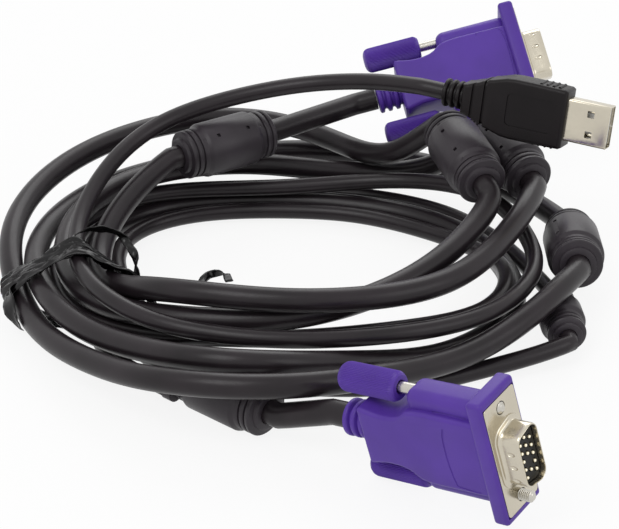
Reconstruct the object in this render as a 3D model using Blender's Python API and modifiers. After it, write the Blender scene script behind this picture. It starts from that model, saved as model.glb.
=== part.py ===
"""A KVM lead: two VGA plugs and a USB plug on two leads, wound in a loose coil and tied.

Run with blender --background --python part.py, or from the text editor.
Units are metres, +Z is up, the coil lies on z = 0.
"""
import math

import bmesh
import bpy
import numpy as np
from mathutils import Euler, Matrix, Vector

mm = 0.001
gap = 0.3 * mm

# Leads
vgaDiameter = 6.6 * mm
usbDiameter = 4.8 * mm
coilCentre = (-5 * mm, 14 * mm)

# Moves the finished lead so that its box stands centred on the origin
frameShift = (2.1 * mm, 6.4 * mm, -0.1 * mm)

# Plug shell of a 15-way high density connector
plateLong = 30.8 * mm
plateShort = 12.5 * mm
plateThick = 0.5 * mm
screwSpacing = 24.99 * mm
screwHole = 3.4 * mm
shellLong = 16.9 * mm
shellShort = 8.3 * mm
shellProud = 5.9 * mm
shellWall = 0.45 * mm
shellSlant = math.radians(10)
pinPitch = 2.29 * mm
pinRowPitch = 1.98 * mm
pinDiameter = 0.9 * mm
pinTip = 5.0 * mm

# Hood moulded round it
flangeLong = 34.8 * mm
flangeShort = 14.4 * mm
flangeDeep = 4.6 * mm
channelLong = 29.2 * mm
channelThick = 8.6 * mm
channelRear = -25.4 * mm
bodyThick = 12.4 * mm
insertRear = 3.2 * mm
insertProud = 4.4 * mm
wellLong = 17.6 * mm
wellShort = 8.8 * mm
hoodRear = -39.7 * mm
reliefRear = -47.0 * mm
reliefRadius = 4.75 * mm

# Thumbscrews
knobDiameter = 7.6 * mm
knobLength = 17.5 * mm
knobDepth = 9.4 * mm
shaftDiameter = 3.0 * mm
screwReach = 4.0 * mm

# USB plug
usbShellLong = 12.0 * mm
usbShellThick = 4.5 * mm
usbShellOut = 11.8 * mm
usbShellWall = 0.3 * mm
usbShellIn = 8.0 * mm
usbBodyThick = 8.4 * mm
usbReliefFront = -31.0 * mm
usbReliefRear = -37.0 * mm
usbReliefRadius = 4.0 * mm
usbTongueSetback = 0.8 * mm
usbWindow = (2.0 * mm, 1.9 * mm)
usbWindowPlace = (6.4 * mm, 2.9 * mm)
usbContacts = (-3.5, -1.0, 1.0, 3.5)

# Ferrite mouldings: outer radius and length on the two leads
vgaChokeRadius = 8.0 * mm
vgaChokeLength = 31 * mm
usbChokeRadius = 6.2 * mm
usbChokeLength = 21 * mm
chokeWall = 1.7 * mm
chokeEnd = 4.0 * mm

# The USB lead leaves the near ferrite moulding through a stub beside the VGA lead
stubOffset = (5.8 * mm, -2.6 * mm)
stubRadius = 2.7 * mm
stubLength = 3.3 * mm
stubSetback = 0.2 * mm

# Where each plug lies: place of its front face, and roll, pitch and heading in degrees
plugPlaces = {
    "near": ((47, -108.5, 23.4), (10, -10, -38.4)),
    "far": ((66, 86, 40), (-46, -13, 7)),
    "usb": ((72, 20, 50), (-12, 2, -25)),
}

# The side that the wide side of each D shell is on, and the height of its middle dimple in millimetres
wideSides = {"near": 1, "far": -1}
dimplePlaces = {"near": -1.2, "far": 1.8}
dimplePitch = 3.8 * mm
dimpleSize = (2.0 * mm, 1.0 * mm)

# How far each knob stands behind its hood, in millimetres
knobGaps = {"near_upper": 3.4, "near_lower": 0.6, "far_upper": 5.0, "far_lower": 4.6}

# Ferrite mouldings: middle, and the way the lead runs through, in millimetres
chokePlaces = {
    "choke_near": ((-21.5, -56, 8.2), (-0.75, 0.66, 0), "vga"),
    "choke_right_vga": ((74.5, 15, 12.5), (-0.02, -0.98, 0.14), "vga"),
    "choke_right_usb": ((68.5, -15, 6.4), (0.08, -1, 0), "usb"),
    "choke_rear_inner": ((44, 32, 33), (0.3, -0.93, -0.12), "vga"),
    "choke_rear_outer": ((57.5, 42.5, 28.8), (0.35, -0.92, -0.12), "vga"),
    "choke_far": ((-25, 55, 26), (0.83, 0.55, 0), "vga"),
}

# Routes of the coil: turned angle from the front going left, radius and height in millimetres.
# The name of a ferrite moulding stands where the lead runs through it.
vgaRoute = [
    "choke_near", (45, 57, 3.6), (60, 53.5, 3.8), (75, 52.6, 4.6), (90, 56, 3.6), (112, 64, 4), (135, 62, 4),
    (160, 53, 3.4), (180, 50, 3.4), (205, 51, 3.4), (225, 55, 3.4), (245, 60, 3.4), (262, 62, 3.4),
    (278, 64, 3.4), (291, 66, 4), (309, 66, 6), (322, 66, 6.5), (333, 64, 8), (346, 64, 11), (358, 73, 17),
    (370, 79, 20), (380, 76, 17.5), (392, 72, 13.5), (409, 71, 11), (424, 71, 11), (435, 71, 11.2), (450, 71, 9),
    (470, 73, 7), (495, 76, 6), (540, 76, 7), (585, 77, 9), "choke_right_vga", (650, 79, 16), (661, 77, 14.5),
    (677, 73, 10), (690, 73, 11), (705, 79, 16), (720, 86, 19), (731, 88, 19.5), (742, 85, 17), (750, 81, 13.5),
    (759, 78, 11), (773, 76, 8), (783, 75.5, 6.5), (795, 75.8, 6), (810, 79, 11), (830, 82, 14), (850, 82, 17),
    (870, 81, 18), (885, 81, 17), (900, 76, 15), (915, 66, 13), (926, 59, 14), (936, 57, 20),
    "choke_rear_inner", (990, 57, 29), (1035, 49, 21), (1080, 53, 17), (1110, 57, 14.5), (1125, 60.5, 12),
    (1140, 63, 10.8), (1155, 63.8, 10.6), (1170, 64, 12), (1190, 63, 14), (1215, 60, 14), (1245, 55, 14),
    (1265, 56, 12), (1280, 62, 10), (1292, 68, 10), (1302, 73, 14), "choke_rear_outer", (1350, 64, 26),
    (1395, 57, 23), (1440, 54, 24), (1470, 56, 24), (1485, 57, 21), (1500, 55.5, 14), (1515, 56.3, 11),
    (1530, 54, 16), "choke_far",
]
usbRoute = [
    (48, 66, 3), (60, 62, 3), (75, 59.3, 4), (90, 62, 3), (112, 70, 3), (135, 69, 2.6), (160, 60, 2.6),
    (180, 57.5, 2.6), (225, 61, 2.6), (255, 64, 2.8), (266, 67, 3), "choke_right_usb", (315, 72, 4), (330, 67, 3),
    (345, 61, 2.6), (360, 59, 2.6), (375, 56, 2.6), (390, 52, 2.6), (405, 49.5, 2.6), (420, 47.5, 3),
    (435, 46.7, 3.8), (450, 50, 3), (474, 56, 2.6), (490, 54, 2.6), (506, 49, 2.6), (520, 44.5, 2.6),
    (543, 41, 2.6), (568, 43.5, 2.6), (594, 48, 2.6), (611, 54.5, 3), (626, 60, 5), (640, 64, 9), (655, 67, 11),
    (666, 68, 12), (678, 65, 13), (689, 61, 13.5), (705, 57.5, 13), (720, 57, 12.5), (735, 58, 11.5),
    (750, 61, 9), (765, 63.5, 7), (780, 65, 5), (795, 65.5, 4.2), (810, 66, 5), (830, 64, 8), (855, 57, 10),
    (900, 45, 11), (945, 60, 17), (975, 68, 24), (985, 72, 20), (994, 74, 18), (1004, 74, 17), (1016, 73, 17.5),
    (1026, 73, 17.5), (1038, 70, 17.5), (1050, 67, 17.5), (1065, 64, 17.3), (1080, 63, 17), (1110, 64, 17),
    (1125, 63.5, 17.2), (1140, 62, 17), (1155, 60.2, 16.8), (1170, 58, 21), (1190, 54, 28), (1215, 51, 34),
    (1260, 44, 42), (1295, 43, 48),
]

# The film tie: where it goes round the coil, its width, and the stiff tail beyond its knot
tieAngle = 75
tieWidth = 7 * mm
tieThick = 0.5 * mm
tieClear = 0.6 * mm
knotRadius = 2.6 * mm
tailRadius = 0.9 * mm
tailRoute = [(-50, -5, 18), (-47, -9.5, 14.5), (-41, -9, 13), (-36, -6, 12.5), (-33, -7.5, 12.5),
             (-30, -5, 12.5), (-27, 0, 12), (-23.5, 0.5, 11.5), (-22, -3, 11)]


def startScene():
    for each in list(bpy.data.objects):
        bpy.data.objects.remove(each)
    parts = bpy.data.collections.new("kvm_cable")
    cutters = bpy.data.collections.new("cutters")
    bpy.context.scene.collection.children.link(parts)
    bpy.context.scene.collection.children.link(cutters)
    return parts, cutters


def makeMaterial(name, colour, roughness, metallic=0.0):
    material = bpy.data.materials.new(name)
    material.use_nodes = True
    shader = material.node_tree.nodes["Principled BSDF"]
    shader.inputs["Base Color"].default_value = (*colour, 1)
    shader.inputs["Roughness"].default_value = roughness
    shader.inputs["Metallic"].default_value = metallic
    return material


parts, cutters = startScene()
purple = makeMaterial("purple_pvc", (0.09, 0.045, 0.33), 0.45)
blackPvc = makeMaterial("black_pvc", (0.02, 0.018, 0.02), 0.42)
chokeBlack = makeMaterial("choke_pvc", (0.035, 0.03, 0.036), 0.5)
ferrite = makeMaterial("ferrite", (0.05, 0.05, 0.055), 0.6)
nickel = makeMaterial("nickel", (0.72, 0.7, 0.64), 0.28, 1.0)
brass = makeMaterial("gold_pin", (0.8, 0.66, 0.36), 0.3, 1.0)
insertBlack = makeMaterial("insert_black", (0.012, 0.012, 0.012), 0.5)
whitePlastic = makeMaterial("white_insulator", (0.8, 0.8, 0.78), 0.45)
film = makeMaterial("tie_film", (0.01, 0.01, 0.011), 0.22)


def addObject(name, mesh, material=None, parent=None, collection=None):
    piece = bpy.data.objects.new(name, mesh)
    (collection or parts).objects.link(piece)
    if material:
        mesh.materials.clear()
        mesh.materials.append(material)
    piece.parent = parent
    return piece


def addCutter(name, mesh, parent=None):
    cutter = addObject(name, mesh, parent=parent, collection=cutters)
    cutter.hide_render = True
    cutter.display_type = "WIRE"
    return cutter


def meshFrom(bm, name):
    mesh = bpy.data.meshes.new(name)
    bm.to_mesh(mesh)
    bm.free()
    return mesh


def boxMesh(name, low, high, bevel=0.0, segments=2):
    bm = bmesh.new()
    bmesh.ops.create_cube(bm, size=1)
    size = [b - a for a, b in zip(low, high)]
    middle = [(a + b) / 2 for a, b in zip(low, high)]
    bmesh.ops.scale(bm, vec=size, verts=bm.verts)
    bmesh.ops.translate(bm, vec=middle, verts=bm.verts)
    if bevel:
        bmesh.ops.bevel(bm, geom=bm.edges, offset=bevel, segments=segments, profile=0.5,
                        affect="EDGES", clamp_overlap=True)
    return meshFrom(bm, name)


def rodMesh(name, radius, start, end, sides=16, height=0.0):
    """A round bar along X from start to end, at the given height."""
    bm = bmesh.new()
    turn = Matrix.Translation(((start + end) / 2, 0, height)) @ Matrix.Rotation(math.pi / 2, 4, "Y")
    bmesh.ops.create_cone(bm, cap_ends=True, segments=sides, radius1=radius, radius2=radius,
                          depth=end - start, matrix=turn)
    return meshFrom(bm, name)


def turnedMesh(name, profile, steps=24, closed=False):
    """Turns a profile of (x, radius) points about X; the points run from +X to -X on the outer side."""
    bm = bmesh.new()
    verts = [bm.verts.new((x, 0, radius)) for x, radius in profile]
    for first, second in zip(verts, verts[1:]):
        bm.edges.new((first, second))
    if closed:
        bm.edges.new((verts[-1], verts[0]))
    bmesh.ops.spin(bm, geom=bm.verts[:] + bm.edges[:], cent=(0, 0, 0), axis=(1, 0, 0),
                   angle=2 * math.pi, steps=steps, use_merge=True)
    bmesh.ops.remove_doubles(bm, verts=bm.verts, dist=0.001 * mm)
    bmesh.ops.recalc_face_normals(bm, faces=bm.faces)
    return meshFrom(bm, name)


def slabMesh(name, outlines, low, high):
    """Flat outlines in the X-Z plane, holes included, given thickness along Y from low to high."""
    curve = bpy.data.curves.new(name, "CURVE")
    curve.dimensions = "2D"
    curve.fill_mode = "BOTH"
    curve.extrude = (high - low) / 2
    for outline in outlines:
        spline = curve.splines.new("POLY")
        spline.points.add(len(outline) - 1)
        for point, (x, z) in zip(spline.points, outline):
            point.co = (x, z, 0, 1)
        spline.use_cyclic_u = True
    guide = bpy.data.objects.new(name, curve)
    cutters.objects.link(guide)
    bpy.context.view_layer.update()
    evaluated = guide.evaluated_get(bpy.context.evaluated_depsgraph_get())
    mesh = bpy.data.meshes.new_from_object(evaluated)
    bpy.data.objects.remove(guide)
    bm = bmesh.new()
    bm.from_mesh(mesh)
    bmesh.ops.remove_doubles(bm, verts=bm.verts, dist=0.001 * mm)
    bmesh.ops.rotate(bm, verts=bm.verts, cent=(0, 0, 0), matrix=Matrix.Rotation(math.pi / 2, 3, "X"))
    bmesh.ops.translate(bm, verts=bm.verts, vec=(0, (low + high) / 2, 0))
    bmesh.ops.recalc_face_normals(bm, faces=bm.faces)
    return meshFrom(bm, name)


def faceMesh(name, outlines, back, front):
    """Flat outlines in the Y-Z plane, given thickness along X from back to front."""
    flat = [[(y, z) for y, z in outline] for outline in outlines]
    mesh = slabMesh(name, flat, back, front)
    mesh.transform(Matrix.Rotation(math.pi / 2, 4, "Z"))
    mesh.transform(Matrix.Translation((back + front, 0, 0)))
    return mesh


def boolean(piece, cutter, operation="DIFFERENCE"):
    modifier = piece.modifiers.new(operation.lower(), "BOOLEAN")
    modifier.operation = operation
    modifier.solver = "EXACT"
    modifier.object = cutter


def addBevel(piece, width, segments=2, angle=40):
    modifier = piece.modifiers.new("edges", "BEVEL")
    modifier.width = width
    modifier.segments = segments
    modifier.limit_method = "ANGLE"
    modifier.angle_limit = math.radians(angle)


def smooth(piece, angle=35):
    piece.data.shade_smooth()
    piece.data.set_sharp_from_angle(angle=math.radians(angle))


def plugEmpty(name):
    place, turn = plugPlaces[name]
    empty = bpy.data.objects.new(name + "_plug", None)
    parts.objects.link(empty)
    empty.location = Vector(place) * mm
    empty.rotation_euler = [math.radians(angle) for angle in turn]
    return empty


def plugMatrix(name):
    place, turn = plugPlaces[name]
    rotation = Euler([math.radians(angle) for angle in turn]).to_matrix().to_4x4()
    return Matrix.Translation(Vector(place) * mm) @ rotation


def shellOutline(wideSide, inset, corner=2.6 * mm, steps=4):
    """The D shape in the Y-Z plane, its wide side at +Y or -Y, drawn in from the outside by inset."""
    halfWide = shellLong / 2
    halfNarrow = halfWide - shellShort * math.tan(shellSlant)
    half = shellShort / 2
    corners = [(-half, halfWide), (-half, -halfWide), (half, -halfNarrow), (half, halfNarrow)]
    radius = corner - inset
    points = []
    for index, (y, z) in enumerate(corners):
        before = Vector(corners[index - 1]) - Vector((y, z))
        after = Vector(corners[(index + 1) % 4]) - Vector((y, z))
        before.normalize()
        after.normalize()
        halfAngle = before.angle(after) / 2
        centre = Vector((y, z)) + (before + after).normalized() * corner / math.sin(halfAngle)
        outward = [-(after - before * before.dot(after)), -(before - after * before.dot(after))]
        angles = [math.atan2(side.y, side.x) for side in outward]
        sweep = (angles[1] - angles[0] + math.pi) % (2 * math.pi) - math.pi
        for step in range(steps + 1):
            angle = angles[0] + sweep * step / steps
            across = centre.x + radius * math.cos(angle)
            points.append((-wideSide * across, centre.y + radius * math.sin(angle)))
    return points


def circle(radius, y=0.0, z=0.0, sides=16):
    turns = [2 * math.pi * step / sides for step in range(sides)]
    return [(y + radius * math.cos(turn), z + radius * math.sin(turn)) for turn in turns]


def rectangle(width, height):
    across = width / 2
    up = height / 2
    return [(-across, -up), (across, -up), (across, up), (-across, up)]


def bodyOutline():
    """The hood's thick centre from above: full at the flange, drawn in behind the screw channels."""
    side = [(-4, 10.4), (-22, 10.6), (-25.2, 9.8), (-26.4, 8.4), (-28.5, 7.6), (-32, 7.2), (-36, 7.5),
            (-38.6, 8.2), (-39.7, 7.6)]
    return mirroredOutline(side)


def mirroredOutline(side):
    """Closes an outline given as its upper side in millimetres."""
    upper = [(x * mm, z * mm) for x, z in side]
    lower = [(x, -z) for x, z in reversed(upper)]
    return upper + lower


def reliefProfile(front, rear, radius, rings):
    """Rings and grooves of a strain relief, from the hood out to the lead."""
    pitch = (front - rear) / rings
    profile = [(front + 2 * mm, 0), (front + 2 * mm, radius * 0.8)]
    for ring in range(rings):
        start = front - pitch * ring
        profile += [(start - 0.35 * pitch, radius * 0.8), (start - 0.45 * pitch, radius),
                    (start - 0.9 * pitch, radius), (start - pitch, radius * 0.8)]
    profile[-1] = (rear, radius * 0.86)
    profile.append((rear, 0))
    return profile


def makeHood(name, empty):
    flange = boxMesh("flange", (-flangeDeep, -flangeShort / 2, -flangeLong / 2),
                     (-0.1 * mm, flangeShort / 2, flangeLong / 2), 1.0 * mm)
    hood = addObject(name + "_hood", flange, purple, empty)
    channel = boxMesh("channel", (channelRear, -channelThick / 2, -channelLong / 2),
                      (-3 * mm, channelThick / 2, channelLong / 2), 2.6 * mm, 3)
    body = addCutter(name + "_body", slabMesh("body", [bodyOutline()], -bodyThick / 2, bodyThick / 2), empty)
    addBevel(body, 1.4 * mm)
    relief = turnedMesh("relief", reliefProfile(hoodRear, reliefRear, reliefRadius, 3), 20)
    boolean(hood, addCutter(name + "_channel", channel, empty), "UNION")
    boolean(hood, body, "UNION")
    boolean(hood, addCutter(name + "_relief", relief, empty), "UNION")
    for side in (-1, 1):
        height = side * screwSpacing / 2
        bore = rodMesh("bore", shaftDiameter / 2 + gap, channelRear - 2 * mm, 2 * mm, 16, height)
        boolean(hood, addCutter(name + "_bore", bore, empty))
    pocket = boxMesh("pocket", (-plateThick - gap, -plateShort / 2 - gap, -plateLong / 2 - gap),
                     (1 * mm, plateShort / 2 + gap, plateLong / 2 + gap))
    well = boxMesh("well", (-insertRear - gap, -wellShort / 2, -wellLong / 2),
                   (1 * mm, wellShort / 2, wellLong / 2))
    boolean(hood, addCutter(name + "_pocket", pocket, empty))
    boolean(hood, addCutter(name + "_well", well, empty))
    smooth(hood)


def makeShell(name, empty):
    wide = wideSides[name]
    holes = [circle(screwHole / 2, 0, side * screwSpacing / 2) for side in (-1, 1)]
    middle = shellOutline(wide, shellWall / 2)
    plate = faceMesh("plate", [rectangle(plateShort, plateLong), middle] + holes, -plateThick, 0)
    shell = addObject(name + "_shell", plate, nickel, empty)
    wall = faceMesh("wall", [shellOutline(wide, 0), shellOutline(wide, shellWall)], -plateThick, shellProud)
    boolean(shell, addCutter(name + "_wall", wall, empty), "UNION")
    side = -shellShort / 2
    middleX = shellProud * 0.54
    for step in (-1, 0, 1):
        middleZ = dimplePlaces[name] * mm + step * dimplePitch
        dimple = boxMesh("dimple", (middleX - dimpleSize[0] / 2, side - 0.1 * mm, middleZ - dimpleSize[1] / 2),
                         (middleX + dimpleSize[0] / 2, side + 0.2 * mm, middleZ + dimpleSize[1] / 2))
        boolean(shell, addCutter(name + "_dimple", dimple, empty))


def pinPlaces():
    """Three staggered rows of five, with one pin of the middle row missing."""
    places = []
    for row in (-1, 0, 1):
        for column in range(5):
            if row == 0 and column == 1:
                continue
            stagger = pinPitch / 2 if row == 0 else 0
            places.append((row * pinRowPitch, (column - 2) * pinPitch + stagger - pinPitch / 4))
    return places


def makeInsert(name, empty):
    outline = shellOutline(wideSides[name], shellWall + gap)
    holes = [circle(pinDiameter / 2 + gap, y, z, 8) for y, z in pinPlaces()]
    block = faceMesh("insert", [outline] + holes, -insertRear, insertProud)
    addObject(name + "_insert", block, insertBlack, empty)
    pin = turnedMesh("pin", [(pinTip, 0), (pinTip - 0.3 * mm, pinDiameter * 0.3),
                             (pinTip - 0.8 * mm, pinDiameter / 2), (-insertRear, pinDiameter / 2),
                             (-insertRear, 0)], 8)
    for number, (y, z) in enumerate(pinPlaces(), 1):
        piece = addObject(f"{name}_pin_{number:02d}", pin, brass, empty)
        piece.location = (0, y, z)
        smooth(piece)


def makeScrew(name, side, empty):
    """A thumbscrew: the knob and its screw, which slides in the hood and turns."""
    label = name + ("_upper" if side > 0 else "_lower")
    knobFront = channelRear - knobGaps[label] * mm
    height = side * screwSpacing / 2
    tip = screwReach - knobGaps[label] * mm
    radius = shaftDiameter / 2
    shaft = turnedMesh("shaft", [(tip, 0), (tip, radius - 0.5 * mm), (tip - 0.5 * mm, radius - 0.1 * mm),
                                 (tip - 5 * mm, radius - 0.1 * mm), (tip - 5.4 * mm, radius),
                                 (knobFront - knobDepth + gap, radius), (knobFront - knobDepth + gap, 0)], 16)
    screw = addObject(label + "_screw", shaft, nickel, empty)
    screw.location = (0, 0, height)
    smooth(screw)
    outer = knobDiameter / 2
    bore = radius + gap
    front = knobFront
    rear = knobFront - knobLength
    seat = front - knobDepth
    nose = [(front, bore), (front, outer - 1.2 * mm), (front - 0.6 * mm, outer - 0.7 * mm)]
    grasp = [(front - 1.4 * mm, outer), (rear + 1.6 * mm, outer)]
    tail = [(rear + 0.5 * mm, outer - 0.5 * mm), (rear, outer - 1.4 * mm), (rear, 0)]
    knob = turnedMesh("knob", nose + grasp + tail + [(seat, 0), (seat, bore), (front, bore)], 24)
    grip = addObject(label + "_knob", knob, purple, empty)
    grip.location = (0, 0, height)
    smooth(grip)


def makeVgaPlug(name):
    empty = plugEmpty(name)
    makeHood(name, empty)
    makeShell(name, empty)
    makeInsert(name, empty)
    for side in (1, -1):
        makeScrew(name, side, empty)


def usbOutline():
    side = [(0, 8.2), (-1, 8.5), (-17, 8.6), (-20, 7.9), (-23, 7.0), (-26, 5.8), (-29, 4.6), (-31, 4.2)]
    return mirroredOutline(side)


def makeUsbPlug():
    empty = plugEmpty("usb")
    body = addObject("usb_overmould", slabMesh("usb", [usbOutline()], -usbBodyThick / 2, usbBodyThick / 2),
                     blackPvc, empty)
    addBevel(body, 1.3 * mm)
    profile = reliefProfile(usbReliefFront, usbReliefRear, usbReliefRadius, 3)
    relief = turnedMesh("usb_relief", profile, 20)
    boolean(body, addCutter("usb_relief", relief, empty), "UNION")
    outer = [(usbShellThick / 2, usbShellLong / 2), (-usbShellThick / 2, usbShellLong / 2),
             (-usbShellThick / 2, -usbShellLong / 2), (usbShellThick / 2, -usbShellLong / 2)]
    inner = [(y - math.copysign(usbShellWall, y), z - math.copysign(usbShellWall, z)) for y, z in outer]
    socket = [(y + math.copysign(gap, y), z + math.copysign(gap, z)) for y, z in outer]
    boolean(body, addCutter("usb_socket", faceMesh("socket", [socket], -usbShellIn - gap, 1 * mm), empty))
    smooth(body)
    shell = addObject("usb_shell", faceMesh("usb_shell", [outer, inner], -usbShellIn, usbShellOut), nickel, empty)
    along, across = usbWindowPlace
    for side in (-1, 1):
        hole = boxMesh("window", (along - usbWindow[0] / 2, -usbShellThick, side * across - usbWindow[1] / 2),
                       (along + usbWindow[0] / 2, usbShellThick, side * across + usbWindow[1] / 2))
        boolean(shell, addCutter("usb_window", hole, empty))
    block = [(y - math.copysign(gap, y), z - math.copysign(gap, z)) for y, z in inner]
    tongue = addObject("usb_tongue", faceMesh("tongue", [block], gap - usbShellIn, 0.5 * mm), whitePlastic, empty)
    blade = boxMesh("blade", (0.2 * mm, -0.1 * mm, -5.3 * mm),
                    (usbShellOut - usbTongueSetback, 1.6 * mm, 5.3 * mm))
    boolean(tongue, addCutter("usb_blade", blade, empty), "UNION")
    for place in usbContacts:
        low = (2 * mm, -0.3 * mm, (place - 0.5) * mm)
        strip = boxMesh("strip", low, (10 * mm, 0.1 * mm, (place + 0.5) * mm))
        boolean(tongue, addCutter("usb_contact", strip, empty), "UNION")


def chokeProfile(radius, length, bore):
    """The moulding's outer side with its grooved collars, and the hollow that holds the core."""
    half = length / 2
    collar = radius - 0.9 * mm
    core = radius - chokeWall
    end = half - chokeEnd
    outer = [(half, bore), (half, radius * 0.62), (half - 1.2 * mm, radius * 0.66), (half - 1.4 * mm, collar)]
    for ring in range(2):
        start = half - (2.4 + 1.9 * ring) * mm
        outer += [(start, collar), (start - 0.3 * mm, collar - 0.5 * mm), (start - 0.6 * mm, collar)]
    outer += [(half - 6.4 * mm, collar), (half - 7 * mm, radius)]
    mirrored = [(-x, r) for x, r in reversed(outer)]
    inner = [(-end, bore), (-end, core), (end, core), (end, bore)]
    return outer + mirrored + inner


def chokeAxis(name):
    middle, direction, lead = chokePlaces[name]
    return Vector(middle) * mm, Vector(direction).normalized(), lead


def chokeSize(lead):
    if lead == "vga":
        return vgaChokeRadius, vgaChokeLength, vgaDiameter
    return usbChokeRadius, usbChokeLength, usbDiameter


def makeChoke(name):
    middle, direction, lead = chokeAxis(name)
    radius, length, diameter = chokeSize(lead)
    bore = diameter / 2 + gap
    turn = direction.to_track_quat("X", "Z")
    moulding = addObject(name, turnedMesh(name, chokeProfile(radius, length, bore), 16, True), chokeBlack)
    half = length / 2 - chokeEnd - gap
    outer = radius - chokeWall - gap
    section = [(half, bore), (half, outer), (-half, outer), (-half, bore)]
    core = addObject(name + "_core", turnedMesh("core", section, 16, True), ferrite)
    if name == "choke_near":
        ends = [Vector((length / 2 - stubSetback - reach, *stubOffset)) for reach in (stubLength, 0)]
        stub = addCutter("choke_near_stub", tubeMesh("stub", ends, stubRadius))
        stub.location = middle
        stub.rotation_mode = "QUATERNION"
        stub.rotation_quaternion = turn
        boolean(moulding, stub, "UNION")
    for piece in (moulding, core):
        piece.location = middle
        piece.rotation_mode = "QUATERNION"
        piece.rotation_quaternion = turn
        smooth(piece)


def coilPoint(angle, radius, height):
    turn = math.radians(angle)
    return Vector((coilCentre[0] - radius * mm * math.sin(turn), coilCentre[1] - radius * mm * math.cos(turn),
                   height * mm))


def keyPoints(route, startPoints, endPoints):
    """The lead's key points, and for each whether it is held: plug ends and mouldings are."""
    points = [(point, True) for point in startPoints]
    for stop in route:
        if isinstance(stop, str):
            middle, direction, lead = chokeAxis(stop)
            half = chokeSize(lead)[1] / 2
            points += [(middle + direction * reach, True) for reach in (-half - 3 * mm, half + 3 * mm)]
        else:
            points.append((coilPoint(*stop), False))
    return points + [(point, True) for point in endPoints]


def smoothRoute(points, spacing):
    """A centripetal curve through the key points, read at even spacing; held stretches stay held."""
    keys = [np.array(point) for point, held in points]
    held = [flag for point, flag in points]
    keys = [2 * keys[0] - keys[1]] + keys + [2 * keys[-1] - keys[-2]]
    route = []
    pinned = []
    for index in range(1, len(keys) - 2):
        a, b, c, d = keys[index - 1:index + 3]
        t = [0.0]
        for first, second in ((a, b), (b, c), (c, d)):
            t.append(t[-1] + max(np.linalg.norm(second - first), 0.5 * mm) ** 0.5)
        count = max(2, round(np.linalg.norm(c - b) / spacing))
        for step in range(count):
            if held[index - 1] and held[index]:
                route.append(b + (c - b) * step / count)
                pinned.append(True)
                continue
            time = t[1] + (t[2] - t[1]) * step / count
            ab = a + (b - a) * (time - t[0]) / (t[1] - t[0])
            bc = b + (c - b) * (time - t[1]) / (t[2] - t[1])
            cd = c + (d - c) * (time - t[2]) / (t[3] - t[2])
            abc = ab + (bc - ab) * (time - t[0]) / (t[2] - t[0])
            bcd = bc + (cd - bc) * (time - t[1]) / (t[3] - t[1])
            route.append(abc + (bcd - abc) * (time - t[1]) / (t[2] - t[1]))
            pinned.append(held[index - 1] and step == 0)
    route.append(keys[-2])
    pinned.append(held[-1])
    return np.array(route), np.array(pinned)


def closestPoints(a, b, c, d):
    """Where segments a-b and c-d come closest: the shares along each, row by row."""
    along = b - a
    other = d - c
    start = a - c
    aa = np.einsum("ij,ij->i", along, along) + 1e-18
    bb = np.einsum("ij,ij->i", other, other) + 1e-18
    ab = np.einsum("ij,ij->i", along, other)
    sa = np.einsum("ij,ij->i", along, start)
    sb = np.einsum("ij,ij->i", other, start)
    spread = aa * bb - ab * ab
    share = np.clip((ab * sb - sa * bb) / np.where(spread < 1e-20, 1, spread), 0, 1)
    share = np.where(spread < 1e-20, 0.5, share)
    partner = np.clip((ab * share + sb) / bb, 0, 1)
    share = np.clip((ab * partner - sa) / aa, 0, 1)
    return share, partner


def plugBlocks():
    """Round-ended bars that stand for the plugs where a lead passes them: start, end and radius."""
    vgaBars = [((-8, 0, -10), (-22, 0, -10), 6.4), ((-8, 0, 10), (-22, 0, 10), 6.4),
               ((-8, 0, 0), (-34, 0, 0), 7.6), ((-2.5, 0, -10), (-2.5, 0, 10), 7.6),
               ((-26, 0, 12.5), (-48, 0, 12.5), 3.9), ((-26, 0, -12.5), (-48, 0, -12.5), 3.9)]
    usbBars = [((-4, 0, -4.5), (-20, 0, -4.5), 4.6), ((-4, 0, 4.5), (-20, 0, 4.5), 4.6),
               ((-4, 0, 0), (-30, 0, 0), 4.6)]
    blocks = []
    for name, bars in (("near", vgaBars), ("far", vgaBars), ("usb", usbBars)):
        place = plugMatrix(name)
        for start, end, radius in bars:
            blocks.append((place @ (Vector(start) * mm), place @ (Vector(end) * mm), radius * mm))
    return blocks


def nearTie(points):
    """True where a point of the coil lies in the stretch that the tie goes round."""
    turn = np.degrees(np.arctan2(coilCentre[0] - points[:, 0], coilCentre[1] - points[:, 1]))
    return np.abs(turn - tieAngle) < 12


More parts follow.
